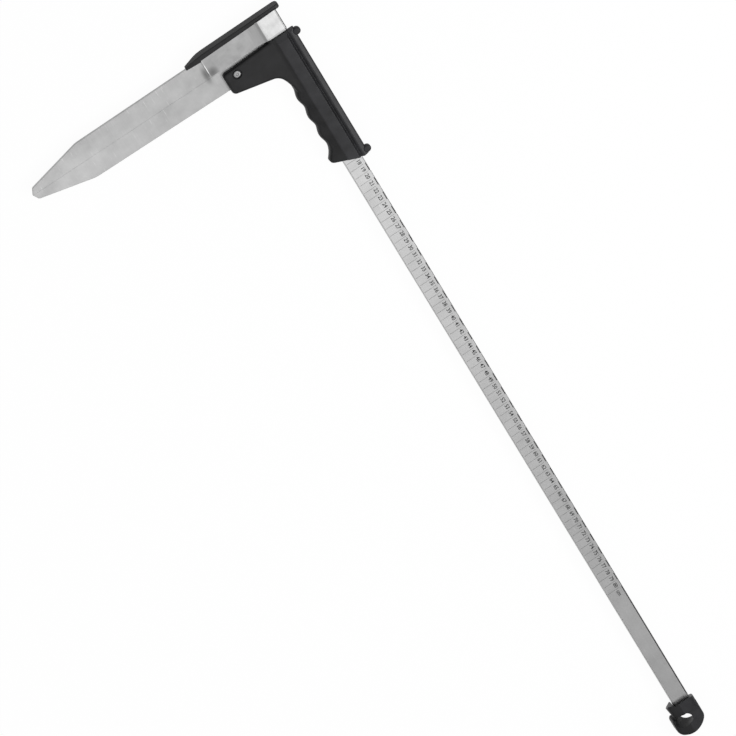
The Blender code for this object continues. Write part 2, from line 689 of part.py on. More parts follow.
def make_front_shell():
    """The ear's flat slab, with the rib over the beam, the spine strip and the lugs standing on it."""
    solid = plate(grip_outline(), -EAR_FRONT, EAR_FRONT, SHELL_RIM_FRONT, 2)
    shell = piece("grip_front_shell", solid, "black_moulding", CARRIAGE)
    root = EAR_FRONT - SHELL_RIM_FRONT
    foot = BEAM_X + RUN_GAP + SHELL_WALL / 3
    rib = rounded([
        (-foot, root, 0.0), (foot, root, 0.0), (foot - SEAT_GAP, EAR_FRONT, 0.0),
        (RIB_RIGHT, RIB_FRONT, RIB_RIGHT_ROUND), (-RIB_LEFT, RIB_FRONT, RIB_LEFT_ROUND),
        (-foot, EAR_FRONT, 0.0)])
    spine_left, spine_right = SPINE_REACH - SPINE_WIDTH, SPINE_REACH - SEAT_GAP
    spine = rounded([
        (spine_left, root, 0.0), (spine_right, root, 0.0), (spine_right, SPINE_FRONT, SPINE_ROUND),
        (spine_left + SEAT_GAP, SPINE_FRONT, SPINE_ROUND)])
    join(shell,
         along_beam(rib, GRIP_BOTTOM + SEAT_GAP, GRIP_TOP - SEAT_GAP),
         along_beam(spine, GRIP_BOTTOM + BOSS_RADIUS, GRIP_TOP - BOSS_RADIUS))
    top = SPINE_FRONT + SEAT_GAP
    profile = [
        (0.0, top), (BOSS_RADIUS - SHELL_RIM_FRONT, top), (BOSS_RADIUS, top - SHELL_RIM_FRONT),
        (BOSS_RADIUS, BOSS_FOOT), (0.0, BOSS_FOOT)]
    for x, y in boss_places():
        join(shell, turned(profile, x, y))
    cut(shell, below(EDGE))
    hollow(shell)
    x, y = ear_rivet_place()
    recess_floor = EAR_FRONT - EAR_RECESS_DEPTH
    cut(shell, rod(EAR_RECESS_RADIUS, (x, y, recess_floor), (x, y, 2 * EAR_FRONT), ROUND_SIDES))
    for x, y in screw_places():
        cut(shell, rod(SCREW_RADIUS + SEAT_GAP, (x, y, -GRIP_BACK), (x, y, SCREW_REACH + SEAT_GAP)))


def make_rear_shell():
    """A flat-backed half, with the spring's pocket and the screws' counterbores."""
    solid = plate(grip_outline(), -GRIP_BACK, GRIP_BACK, SHELL_RIM_BACK, 2)
    shell = piece("grip_rear_shell", solid, "black_moulding", CARRIAGE)
    cut(shell, above(-EDGE))
    hollow(shell)
    pocket_x = SPRING_WIDTH / 2 + SEAT_GAP
    pocket_y = SPRING_LENGTH / 2 + 2 * SEAT_GAP
    cut(shell, block((-pocket_x, -SPRING_CENTRE - pocket_y, spring_floor() - SEAT_GAP),
                     (pocket_x, -SPRING_CENTRE + pocket_y, -BEAM_Z)))
    x, y = ear_rivet_place()
    past = -2 * GRIP_BACK
    recess_floor = -GRIP_BACK + BACK_RECESS_DEPTH
    cut(shell, rod(WASHER_RADIUS + SEAT_GAP, (x, y, past), (x, y, recess_floor), ROUND_SIDES))
    for x, y in screw_places():
        cut(shell,
            rod(SCREW_RADIUS + SEAT_GAP, (x, y, past), (x, y, RIB_FRONT)),
            rod(SCREW_HEAD_RADIUS + SEAT_GAP, (x, y, past), (x, y, screw_seat() + SEAT_GAP)))


def screw_seat():
    """Underside of the grip screws' heads."""
    return -GRIP_BACK + SCREW_HEAD_DEPTH + SCREW_HEAD_HEIGHT


def make_grip_screws():
    """Countersunk-depth cap screws, entered from the back."""
    for number, (x, y) in enumerate(screw_places(), 1):
        seat = screw_seat()
        profile = [
            (0.0, SCREW_REACH), (SCREW_RADIUS, SCREW_REACH), (SCREW_RADIUS, seat),
            (SCREW_HEAD_RADIUS, seat), (SCREW_HEAD_RADIUS, seat - SCREW_HEAD_HEIGHT),
            (0.0, seat - SCREW_HEAD_HEIGHT)]
        screw = piece("grip_screw_%d" % number, turned(profile, x, y), "bright_steel", CARRIAGE)
        smooth(screw)
        floor = seat - SCREW_HEAD_HEIGHT / 2
        cut(screw, rod(SCREW_RADIUS, (x, y, floor), (x, y, floor - SCREW_HEAD_HEIGHT), HEX_SIDES))


def make_ear_rivet():
    """A rivet with a dimpled head at the front, closed over a washer at the back."""
    x, y = ear_rivet_place()
    front = EAR_FRONT - EAR_RECESS_DEPTH + SEAT_GAP
    washer_top = -GRIP_BACK + BACK_RECESS_DEPTH - SEAT_GAP
    washer_low = washer_top - WASHER_HEIGHT
    tail = washer_low - SEAT_GAP
    tip = tail - EAR_RIVET_HEAD_HEIGHT
    crown = front + EAR_RIVET_HEAD_HEIGHT
    middle = (front + crown) / 2
    flat = EAR_RIVET_HEAD * RIVET_FLAT
    profile = [
        (0.0, middle), (DIMPLE_FLOOR, middle), (EAR_RIVET_DIMPLE, crown), (flat, crown),
        (EAR_RIVET_HEAD, middle), (EAR_RIVET_HEAD, front), (EAR_RIVET_RADIUS, front),
        (EAR_RIVET_RADIUS, tail), (EAR_RIVET_HEAD, tail), (flat, tip), (0.0, tip)]
    smooth(piece("sliding_jaw_rivet", turned(profile, x, y), "bright_steel", CARRIAGE))
    disc = rod(WASHER_RADIUS, (x, y, washer_low), (x, y, washer_top), ROUND_SIDES)
    washer = piece("rivet_washer", disc, "bright_steel", CARRIAGE)
    cut(washer, rod(EAR_RIVET_RADIUS + SEAT_GAP, (x, y, washer_low - WASHER_HEIGHT),
                    (x, y, washer_top + WASHER_HEIGHT), ROUND_SIDES))


def make_glides():
    """Four pads on the beam's edges; an adjuster in a trapped nut presses each of the two at the spine."""
    half = PAD_WIDTH / 2
    for level, (low, high) in pad_spans().items():
        for place, side in (("jaw", -1), ("spine", 1)):
            inner, outer = sorted((side * PAD_INNER, side * PAD_OUTER))
            pad = block((inner, low, -half), (outer, high, half))
            piece("glide_pad_%s_%s" % (level, place), pad, "acetal", CARRIAGE)
        y = adjuster_height((low, high))
        reach = NUT_SIDE / 2
        square = block((NUT_INNER, y - reach, -reach), (NUT_INNER + NUT_THICKNESS, y + reach, reach))
        nut = piece("adjuster_nut_" + level, square, "brass", CARRIAGE)
        past = 2 * NUT_THICKNESS
        cut(nut, rod(ADJUSTER_RADIUS + SEAT_GAP, (NUT_INNER - past, y, 0.0), (NUT_INNER + past, y, 0.0)))
        end = SPINE_REACH - ADJUSTER_SINK
        body = rod(ADJUSTER_RADIUS, (PAD_OUTER + SEAT_GAP, y, 0.0), (end, y, 0.0))
        screw = piece("adjuster_screw_" + level, body, "bright_steel", CARRIAGE)
        smooth(screw)
        socket_floor = end - ADJUSTER_SOCKET_DEPTH
        cut(screw, rod(ADJUSTER_SOCKET, (socket_floor, y, 0.0), (end + past, y, 0.0), HEX_SIDES))


def spring_floor():
    """Lowest level of the leaf spring's ends."""
    return -BEAM_Z - SEAT_GAP - SPRING_SHEET - SPRING_BOW


def make_brake_spring():
    """A bowed leaf: its crown bears on the beam's back, its ends on the rear shell."""
    path = []
    for step in range(SPRING_STEPS + 1):
        along = 2 * step / SPRING_STEPS - 1
        sag = SPRING_BOW * (1 - along * along)
        path.append((along * SPRING_LENGTH / 2, spring_floor() + SPRING_SHEET / 2 + sag))
    leaf = folded(path, -SPRING_WIDTH / 2, SPRING_WIDTH / 2, SPRING_SHEET)
    turn = Matrix.Rotation(math.radians(90), 4, "Z")
    leaf.transform(Matrix.Translation((0.0, -SPRING_CENTRE, 0.0)) @ turn)
    smooth(piece("brake_spring", leaf, "bright_steel", CARRIAGE))


make_beam()
make_fixed_jaw()
make_head_strap()
make_jaw_rivets()
make_top_guard()
make_fixings()
make_end_cap()
make_sliding_jaw()
make_front_shell()
make_rear_shell()
make_grip_screws()
make_ear_rivet()
make_glides()
make_brake_spring()
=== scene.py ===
# %% [markdown]
# # A tree caliper
# A forester closes the two long jaws of this tool on a trunk and reads the diameter off the beam. One jaw is
# riveted into a folded strap at the head, and the other rides on a moulded grip that slides down the beam.
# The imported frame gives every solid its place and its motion, so this lesson only dresses it: finer shapes
# over the plain ones, a printed scale, finishes, and a studio to see them in.

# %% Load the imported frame
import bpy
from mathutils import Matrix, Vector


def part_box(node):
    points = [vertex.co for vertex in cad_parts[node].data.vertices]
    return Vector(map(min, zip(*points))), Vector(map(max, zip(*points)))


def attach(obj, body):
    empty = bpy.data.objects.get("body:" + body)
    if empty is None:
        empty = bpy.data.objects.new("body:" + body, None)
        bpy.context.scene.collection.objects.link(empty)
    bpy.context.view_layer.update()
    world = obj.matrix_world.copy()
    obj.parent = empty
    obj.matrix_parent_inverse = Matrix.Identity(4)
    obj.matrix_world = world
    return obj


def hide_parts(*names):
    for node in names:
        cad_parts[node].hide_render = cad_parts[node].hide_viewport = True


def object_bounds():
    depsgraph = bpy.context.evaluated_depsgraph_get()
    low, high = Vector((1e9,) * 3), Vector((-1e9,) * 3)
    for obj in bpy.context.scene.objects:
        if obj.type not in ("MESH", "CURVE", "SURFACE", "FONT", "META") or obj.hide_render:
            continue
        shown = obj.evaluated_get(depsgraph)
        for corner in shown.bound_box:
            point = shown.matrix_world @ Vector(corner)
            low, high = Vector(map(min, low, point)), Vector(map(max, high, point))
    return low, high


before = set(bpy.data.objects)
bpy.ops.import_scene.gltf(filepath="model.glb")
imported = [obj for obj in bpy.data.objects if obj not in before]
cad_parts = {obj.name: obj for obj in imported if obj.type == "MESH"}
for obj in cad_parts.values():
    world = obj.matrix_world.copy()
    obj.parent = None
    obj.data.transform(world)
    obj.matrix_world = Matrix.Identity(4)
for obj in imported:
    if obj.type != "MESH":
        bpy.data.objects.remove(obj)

frame_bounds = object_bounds()
print("frame:", [[round(value, 4) for value in corner] for corner in frame_bounds])

# %% [markdown]
# ## Work in millimetres from the zero of the scale
# Everything on this tool is measured from the line where the jaws meet, on the axis of the beam. Modelling
# about that point, in millimetres, lets each number below be one that a ruler would show on the real piece.
# One matrix then takes a finished shape to the frame's metres.

# %% Find the zero of the scale
from math import cos, pi, radians

import bmesh
import bpy
from mathutils import Matrix, Vector

MM = 0.001
SEAT_GAP = 0.3           # between pieces that touch
RUN_GAP = 0.5            # between the grip's channel and the beam
beam_low, beam_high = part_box("beam")
ZERO = (beam_low + beam_high) / 2
ZERO.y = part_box("sliding_jaw")[1].y + SEAT_GAP / 2 * MM
TO_FRAME = Matrix.Translation(ZERO) @ Matrix.Scale(MM, 4)


def node_box(name):
    """A solid's lowest and highest corner, in millimetres from the zero of the scale."""
    low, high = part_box(name)
    return (low - ZERO) / MM, (high - ZERO) / MM


def node_middle(name):
    low, high = node_box(name)
    return (low + high) / 2


print("zero of the scale:", [round(value, 4) for value in ZERO])

# %% [markdown]
# ## Colours and nodes
# A colour is easiest to read as the hex value that a picture shows, but a shader wants linear light, so one
# function converts it. A second one adds any node: its settings, and for each input a value or another
# node's output. The patterns, ramps and blends that the finishes share are short calls of that one.

# %% Write colours and add nodes
def linear(hex_colour):
    """An sRGB hex colour as the linear RGBA of a shader socket."""
    channels = [int(hex_colour[place:place + 2], 16) / 255 for place in (1, 3, 5)]
    return [c / 12.92 if c <= 0.04045 else ((c + 0.055) / 1.055) ** 2.4 for c in channels] + [1.0]


def add(tree, kind, inputs=None, **settings):
    """One node, with its settings, and its inputs as values or as other nodes' outputs."""
    made = tree.nodes.new(kind)
    for name, value in settings.items():
        setattr(made, name, value)
    for name, value in (inputs or {}).items():
        if isinstance(value, bpy.types.NodeSocket):
            tree.links.new(value, made.inputs[name])
        else:
            made.inputs[name].default_value = value
    return made


def start_finish(name, **values):
    """A material, its tree, its shader with the given constants, and the place on the piece."""
    finish = bpy.data.materials.new(name)
    finish.use_nodes = True
    tree = finish.node_tree
    shader = tree.nodes["Principled BSDF"]
    for socket, value in values.items():
        shader.inputs[socket.replace("_", " ")].default_value = value
    return finish, tree, shader, add(tree, "ShaderNodeTexCoord").outputs["Object"]


print("white paper is", [round(value, 3) for value in linear("#f2f2f0")])

# %% Draw patterns, ramps and blends
MIX_A, MIX_B, MIX_RESULT = 6, 7, 2    # colour sockets of a Mix node
USUAL = (0.3, 0.7)                    # most of a noise's values lie between these
VECTOR, SOFT = "ShaderNodeVectorMath", "SMOOTHSTEP"


def noise(tree, place, size, detail):
    """An even pattern with patches of about a size in millimetres."""
    return add(tree, "ShaderNodeTexNoise", {
        "Vector": place, "Scale": 1 / (size * MM), "Detail": detail}).outputs[0]


def streaks(tree, place, width, length, turn, detail):
    """A pattern that is stretched to a width and a length in millimetres."""
    stretched = add(tree, "ShaderNodeMapping", {"Vector": place, "Rotation": (0, 0, turn), "Scale": (
        1 / (width * MM), 1 / (length * MM), 1 / (width * MM))})
    return add(tree, "ShaderNodeTexNoise", {
        "Vector": stretched.outputs[0], "Scale": 1.0, "Detail": detail}).outputs[0]


def ramp(tree, value, start, end, low=0.0, high=1.0, kind="LINEAR"):
    """A value that runs from low to high while another runs from start to end."""
    return add(tree, "ShaderNodeMapRange", {
        "Value": value, "From Min": start, "From Max": end, "To Min": low, "To Max": high},
        interpolation_type=kind).outputs[0]


def mixed(tree, share, first, second):
    """A colour between two others."""
    return add(tree, "ShaderNodeMix", {"Factor": share, MIX_A: first, MIX_B: second},
               data_type="RGBA").outputs[MIX_RESULT]


def times(tree, first, second, kind="ShaderNodeMath"):
    """The product of two values, or of a colour and a value."""
    return add(tree, kind, {0: first, 1: second}, operation="MULTIPLY").outputs[0]


print("a pattern of 1 mm has about", round(1 / MM), "patches in a metre")

# %% [markdown]
# ## Satin anodised aluminium
# The beam is a drawn tube and the jaws are rolled bar, both anodised to a satin grey. Drawing leaves fine
# lines along the metal, handling leaves cloudy patches, and use leaves a few bright scratches. Three noise
# patterns give these: one stretched along the piece, one even, and one stretched and cut to thin marks. A
# turn about Z lays the lines along the beam or along the jaws. The metal's colour grows darker towards the
# head, a painted shade darkens the beam towards its foot, and a painted shadow of the strap's end darkens
# the metal beside it.

# %% Make the aluminium
LINE_PITCH = 0.9         # mm; the real lines are finer, and are drawn this coarse so that they show
LINE_LENGTH = 70.0
CLOUD = 22.0
SCRATCH_WIDTH = 0.9
SCRATCH_LENGTH = 16.0
DARKEN_FROM, DARKEN_TO = -260.0, -95.0     # from the jaws' points to the head
FOOT_SHADE_FROM, FOOT_SHADE_TO = -150.0, -760.0    # down the beam
# a painted shadow of the strap's end, on the metal beside it
STRAP_SHADOW = (-82.8, 5.5, 1.5)              # beside the end of the strap
STRAP_SHADOW_REACH = (5.6, 17.0, 9.0)
SCRATCH_TURN = radians(28)             # the scratches run askew to the drawn lines


def satin_aluminium(name, dark, light, turn):
    """Anodised, drawn metal: soft reflections with fine lines along the piece."""
    finish, tree, shader, place = start_finish(name, Metallic=1.0)
    lines = streaks(tree, place, LINE_PITCH, LINE_LENGTH, turn, 2.0)
    marks = streaks(tree, place, SCRATCH_WIDTH, SCRATCH_LENGTH, turn + SCRATCH_TURN, 1.0)
    tone = mixed(tree, ramp(tree, noise(tree, place, CLOUD, 4.0), *USUAL), linear(dark), linear(light))
    # the second tone: the cloudy tone with its bright scratches
    second_tone = mixed(tree, ramp(tree, marks, 0.70, 0.80, 0.0, 0.5), tone, linear("#e4e4e4"))
    spot = add(tree, "ShaderNodeSeparateXYZ", {"Vector": place}).outputs
    # the colour grows darker from the jaws' points to the head
    head_darkening = ramp(tree, spot["X"], ZERO.x + DARKEN_FROM * MM, ZERO.x + DARKEN_TO * MM, 1.04, 0.90)
    # a painted shade that darkens the beam towards its foot
    foot_shade = ramp(tree, spot["Y"], ZERO.y + FOOT_SHADE_FROM * MM, ZERO.y + FOOT_SHADE_TO * MM, 0.99, 0.86)
    # the painted shadow of the strap's end
    away = add(tree, VECTOR, {0: place, 1: ZERO + Vector(STRAP_SHADOW) * MM}, operation="SUBTRACT").outputs[0]
    away = times(tree, away, [1 / (reach * MM) for reach in STRAP_SHADOW_REACH], VECTOR)
    away = add(tree, VECTOR, {0: away}, operation="LENGTH").outputs["Value"]
    strap_shadow = ramp(tree, away, 0.0, 1.0, 0.42, 1.0, SOFT)
    shade = times(tree, times(tree, head_darkening, strap_shadow), foot_shade)
    tree.links.new(times(tree, second_tone, shade, VECTOR), shader.inputs["Base Color"])
    tree.links.new(ramp(tree, lines, *USUAL, 0.38, 0.5), shader.inputs["Roughness"])
    relief = add(tree, "ShaderNodeBump", {"Height": lines, "Strength": 0.12, "Distance": 0.05 * MM})
    tree.links.new(relief.outputs[0], shader.inputs["Normal"])
    return finish


BEAM_METAL = satin_aluminium("drawn satin aluminium", "#c1c1c1", "#cbcbcb", 0.0)
JAW_METAL = satin_aluminium("rolled satin aluminium", "#a9a9a9", "#bababa", pi / 2)
print("made:", BEAM_METAL.name, "and", JAW_METAL.name)

# %% [markdown]
# ## Zinc-plated steel
# The strap at the head is plated sheet. It is a paler grey where it wraps the beam and stays dull and cloudy
# on its plates, with short streaks where it was folded and a painted shade on the crease beside the beam.
# Over the beam a painted shade darkens its lower edge. Its cut end carries a painted highlight, and painted
# shade darkens the fold at the right and a patch near the cut end.

# %% Make the plated sheet
STREAK = 1.6             # mm across
STREAK_LENGTH = 30.0
SHEET_CLOUD = 9.0
# a painted shade: a dark patch near the cut end
SHADE_PATCH = (-76.0, 5.5, 3.3)
SHADE_PATCH_REACH = 9.5
STREAKS_IN, STREAKS_OUT = (-31.0, -22.0), (-14.0, -12.5)    # across the tool, where the streaks come and go
CREASE = (-15.6, -13.4)                # where the plate bends up to the beam
OVER_BEAM = (-12.3, -11.0)             # where the bright part starts
END_FOLD = (9.2, 10.6)                 # the fold at the right, which a painted shade darkens
CUT_END = (-79.1, -79.6)
HIGHLIGHT_PEAK = 11.8                       # along the cut end, the place where the painted highlight is brightest
HIGHLIGHT_SPREAD = (3.0, 7.0)                       # from there, where the highlight starts and stops to fade
LIP, LIP_BLUR, LIP_SHADE = 3.5, 0.2, 0.26    # over the beam, a painted shade along the lower edge: its place, its blur, its depth


def plated_sheet(name, dull, second_tone, bright):
    """Zinc plate on a folded strap: bright over the beam, dull on the plates, with painted shade in its
    corners.
    """
    finish, tree, shader, place = start_finish(name, Metallic=1.0)
    spot = add(tree, "ShaderNodeSeparateXYZ", {"Vector": place}).outputs

    def step(start, end, low, high, way="X", middle=ZERO.x):
        """A value that runs from low to high between two places across or along the tool."""
        return ramp(tree, spot[way], middle + start * MM, middle + end * MM, low, high, SOFT)

    folds = streaks(tree, place, STREAK, STREAK_LENGTH, 0.0, 3.0)
    folded = times(tree, step(*STREAKS_IN, 0, 1), step(*STREAKS_OUT, 1, 0))
    pattern = add(tree, "ShaderNodeMix", {
        "Factor": folded, "A": noise(tree, place, SHEET_CLOUD, 4.0), "B": folds}, data_type="FLOAT")
    # a dark patch of painted shade near the cut end
    near = add(tree, VECTOR, {0: place, 1: ZERO + Vector(SHADE_PATCH) * MM}, operation="DISTANCE")
    shade_patch = ramp(tree, near.outputs["Value"], 0.0, SHADE_PATCH_REACH * MM, 0.45, 1.0, SOFT)
    shade = times(tree, ramp(tree, pattern.outputs[0], *USUAL, 0.88, 1.1), shade_patch)
    # painted shade on the fold at the right
    shade = times(tree, shade, step(*END_FOLD, 1.0, 0.3))
    # painted shade along the lower edge over the beam
    edge_shade = times(tree, step(*OVER_BEAM, 0, LIP_SHADE),
                step(LIP + LIP_BLUR, LIP - LIP_BLUR, 0, 1, "Y", ZERO.y))
    shade = add(tree, "ShaderNodeMath", {0: shade, 1: edge_shade}, operation="SUBTRACT").outputs[0]
    # the second tone is a painted shade on the crease beside the beam
    tone = mixed(tree, step(*CREASE, 0, 1), linear(dull), linear(second_tone))
    tone = mixed(tree, step(*OVER_BEAM, 0, 1), tone, linear(bright))
    # a painted highlight along the cut end, brightest at one place
    off = add(tree, "ShaderNodeMath", {0: spot["Y"], 1: ZERO.y + HIGHLIGHT_PEAK * MM}, operation="SUBTRACT")
    off = add(tree, "ShaderNodeMath", {0: off.outputs[0]}, operation="ABSOLUTE")
    edge_highlight = ramp(tree, off.outputs[0], HIGHLIGHT_SPREAD[0] * MM, HIGHLIGHT_SPREAD[1] * MM, 0.9, 0.3, SOFT)
    cut = times(tree, edge_highlight, step(*CUT_END, 0, 1))
    highlighted = mixed(tree, cut, times(tree, tone, shade, VECTOR), linear("#f0f0f0"))
    tree.links.new(highlighted, shader.inputs["Base Color"])
    tree.links.new(ramp(tree, folds, *USUAL, 0.28, 0.42), shader.inputs["Roughness"])
    return finish


# 8a8a8a is the crease's painted shade, #cacaca the paler grey over the beam
STRAP_METAL = plated_sheet("zinc-plated sheet", "#9a9a9a", "#8a8a8a", "#cacaca")
print("made:", STRAP_METAL.name)

# %% [markdown]
# ## Moulded black nylon
# Grip, guard and end cap are moulded in black nylon from a spark-eroded mould. The fine grain breaks up the
# reflections, and palms polish it unevenly, so the roughness wanders and the black is a dark neutral grey.
# Across the grip the colour carries painted light and shade: darker on the fingers' side, paler from the rib
# on.

# %% Make the moulded nylon
GRAIN = 0.7              # mm; the mould's own grain is finer, drawn this coarse so that it shows
PALM_PATCH = 14.0
# painted light and shade: darker on the fingers' side, paler from the rib on
SHADED_UNTIL, LIT_FROM = -6.0, -4.0    # across the grip, from the fingers' slope to the rib


def moulded_nylon(name, dark, light):
    """Spark-eroded moulding: near black, with a broken soft sheen, painted darker on the fingers' side and
    paler from the rib on, as light and shade.
    """
    finish, tree, shader, place = start_finish(name, IOR=1.53, Specular_IOR_Level=0.2)
    patches = noise(tree, place, PALM_PATCH, 5.0)
    across = add(tree, "ShaderNodeSeparateXYZ", {"Vector": place}).outputs["X"]
    # painted shade on the fingers' side, painted light from the rib on
    lit_side = ramp(tree, across, ZERO.x + SHADED_UNTIL * MM, ZERO.x + LIT_FROM * MM, kind=SOFT)
    tone = mixed(tree, lit_side, linear(dark), linear(light))
    mottled = times(tree, tone, ramp(tree, patches, *USUAL, 0.7, 1.3), VECTOR)
    tree.links.new(mottled, shader.inputs["Base Color"])
    tree.links.new(ramp(tree, patches, *USUAL, 0.36, 0.48), shader.inputs["Roughness"])
    grain = noise(tree, place, GRAIN, 2.0)
    relief = add(tree, "ShaderNodeBump", {"Height": grain, "Strength": 0.25, "Distance": 0.08 * MM})
    tree.links.new(relief.outputs[0], shader.inputs["Normal"])
    return finish


BLACK_NYLON = moulded_nylon("moulded black nylon", "#1e1e1f", "#2a2a2c")
print("made:", BLACK_NYLON.name)

# %% [markdown]
# ## Ink, acetal, brass and steel
# The scale is screen-printed in matt black ink. Inside the grip, and in sight only at its ends, are natural
# white acetal pads, brass adjusters and a blued leaf spring. Screws are bright with zinc, and the rivet in
# the ear has dulled. Each is one shade with a slight cloud of its own: ink that thins, milky plastic, handled
# brass, heat-blued steel.

# %% Make the small finishes
def clouded(name, dark, light, size, roughness, metallic=0.0):
    """A plain material whose shade drifts between two values over a given size."""
    finish, tree, shader, place = start_finish(name, Roughness=roughness, Metallic=metallic)
    drift = ramp(tree, noise(tree, place, size, 2.0), *USUAL)
    tree.links.new(mixed(tree, drift, linear(dark), linear(light)), shader.inputs["Base Color"])
    return finish


SCALE_INK = clouded("matt printing ink", "#161617", "#2a2a2b", 3.0, 0.6)
ACETAL = clouded("natural acetal", "#d9d8d2", "#e6e5df", 8.0, 0.4)
BRASS = clouded("turned brass", "#a98f55", "#c3a869", 4.0, 0.35, 1.0)
FIXING_METAL = clouded("zinc-plated fixings", "#b4b5b6", "#c4c5c6", 3.0, 0.34, 1.0)
RIVET_METAL = clouded("dulled rivet", "#878787", "#a2a2a2", 2.0, 0.42, 1.0)
SPRING_STEEL = clouded("blued spring steel", "#5b5f66", "#757980", 6.0, 0.35, 1.0)
small = (SCALE_INK, ACETAL, BRASS, FIXING_METAL, RIVET_METAL, SPRING_STEEL)
print("made:", *[finish.name for finish in small], sep=", ")

# %% [markdown]
# ## The workshop: outlines, rounded edges, cuts
# Most pieces here are sheet or mouldings: an outline pulled up to a thickness, its corners rounded, its rims
# eased, and then joined with or cut by other simple shapes. A few helpers on the bmesh operators do all of
# it. The joins and cuts use Blender's Boolean modifier on passing objects, because it keeps the shapes
# closed. Faces that would share one plane are kept a hair apart, since a join can't tell which one is outer.

# %% Pull and turn shapes
TOUCH = 0.01             # mm; points this close count as one place
HAIR = 0.02              # mm; keeps the faces of two joined shapes out of one plane


def points(geometry):
    return [part for part in geometry if isinstance(part, bmesh.types.BMVert)]


def prism(corners, low, high):
    """A flat outline of (x, y) corners, pulled up from one height to another."""
    shape = bmesh.new()
    face = shape.faces.new([shape.verts.new((x, y, low)) for x, y in corners])
    pulled = bmesh.ops.extrude_face_region(shape, geom=[face])
    bmesh.ops.translate(shape, verts=points(pulled["geom"]), vec=(0, 0, high - low))
    bmesh.ops.recalc_face_normals(shape, faces=shape.faces)
    return shape


def along_beam(section, low, high):
    """An (x, z) section, run along the beam between two places."""
    shape = prism(section, -high, -low)
    bmesh.ops.rotate(shape, verts=shape.verts, matrix=Matrix.Rotation(pi / 2, 3, "X"))
    return shape


def block(low, high, grow=0.0):
    """A box between two corners, grown on every side."""
    shape = bmesh.new()
    bmesh.ops.create_cube(shape, size=1.0)
    low, high = Vector(low), Vector(high)
    size = high - low + Vector((2 * grow, 2 * grow, 2 * grow))
    bmesh.ops.scale(shape, verts=shape.verts, vec=size)
    bmesh.ops.translate(shape, verts=shape.verts, vec=(low + high) / 2)
    return shape


def turned(profile, x, y, steps=48):
    """A (radius, z) profile, spun about an upright axis."""
    shape = bmesh.new()
    line = [shape.verts.new((radius, 0, z)) for radius, z in profile]
    edges = [shape.edges.new(pair) for pair in zip(line, line[1:])]
    bmesh.ops.spin(shape, geom=line + edges, axis=(0, 0, 1), cent=(0, 0, 0), angle=2 * pi, steps=steps,
                   use_merge=True)
    bmesh.ops.remove_doubles(shape, verts=shape.verts, dist=TOUCH / 10)
    bmesh.ops.translate(shape, verts=shape.verts, vec=(x, y, 0))
    bmesh.ops.recalc_face_normals(shape, faces=shape.faces)
    return shape


def moved(shape, turn, place):
    """The shape, turned about the zero of the scale and then moved."""
    bmesh.ops.rotate(shape, verts=shape.verts, matrix=turn)
    bmesh.ops.translate(shape, verts=shape.verts, vec=place)
    return shape


def peg(radius, x, y, low, high):
    return turned([(0, low), (radius, low), (radius, high), (0, high)], x, y)


sample = peg(5.0, 0, 0, 0, 10)
print("a turned peg has", len(sample.faces), "faces")
sample.free()

# %% Pick edges and round them
def uprights(shape, *places):
    """The upright edges at some (x, y) corners of a prism."""
    return [edge for edge in shape.edges
            if abs(edge.verts[0].co.z - edge.verts[1].co.z) > TOUCH
            and any((edge.verts[0].co.xy - Vector(place)).length < TOUCH for place in places)]


def edges_where(shape, test):
    """The edges whose two ends both pass a test of their place."""
    return [edge for edge in shape.edges if all(test(vert.co) for vert in edge.verts)]


def level_edges(shape, height):
    return edges_where(shape, lambda spot: abs(spot.z - height) < TOUCH)


def lengthwise(edges, least=TOUCH):
    """Those edges that run along the beam for more than a length."""
    return [edge for edge in edges if abs(edge.verts[0].co.y - edge.verts[1].co.y) > least]


def eased(share):
    share = min(max(share, 0.0), 1.0)
    return share * share * (3 - 2 * share)


def round_off(shape, edges, size, steps=4):
    """Ease some edges by a round of the given size."""
    bmesh.ops.bevel(shape, geom=edges, offset=size, offset_type="OFFSET", affect="EDGES", segments=steps,
                    profile=0.5, material=-1, clamp_overlap=False)
    return shape


sample = block((0, 0, 0), (10, 10, 10))
print("a 10 mm cube with eased edges has", len(round_off(sample, sample.edges[:], 1.0).faces), "faces")
sample.free()

# %% Join and cut
def as_mesh(name, shape):
    """A mesh of a shape, which is then done with."""
    mesh = bpy.data.meshes.new(name)
    shape.to_mesh(mesh)
    shape.free()
    return mesh


def in_scene(name, data):
    """An object of the scene that shows a mesh, a lamp or the like."""
    made = bpy.data.objects.new(name, data)
    bpy.context.scene.collection.objects.link(made)
    return made


def shape_of(carrier):
    """The shape of an object after its modifiers."""
    result = carrier.evaluated_get(bpy.context.evaluated_depsgraph_get())
    shape = bmesh.new()
    shape.from_mesh(result.to_mesh())
    result.to_mesh_clear()
    return shape


def combined(shape, operation, *tools):
    """The shape after a union or a difference with each tool in turn."""
    carriers = [in_scene("passing", as_mesh("passing", part)) for part in (shape, *tools)]
    for carrier in carriers[1:]:
        step = carriers[0].modifiers.new("step", "BOOLEAN")
        step.object, step.operation, step.solver = carrier, operation, "EXACT"
    made = shape_of(carriers[0])
    for carrier in carriers:
        bpy.data.meshes.remove(carrier.data)
    bmesh.ops.remove_doubles(made, verts=made.verts, dist=TOUCH / 5)
    return made


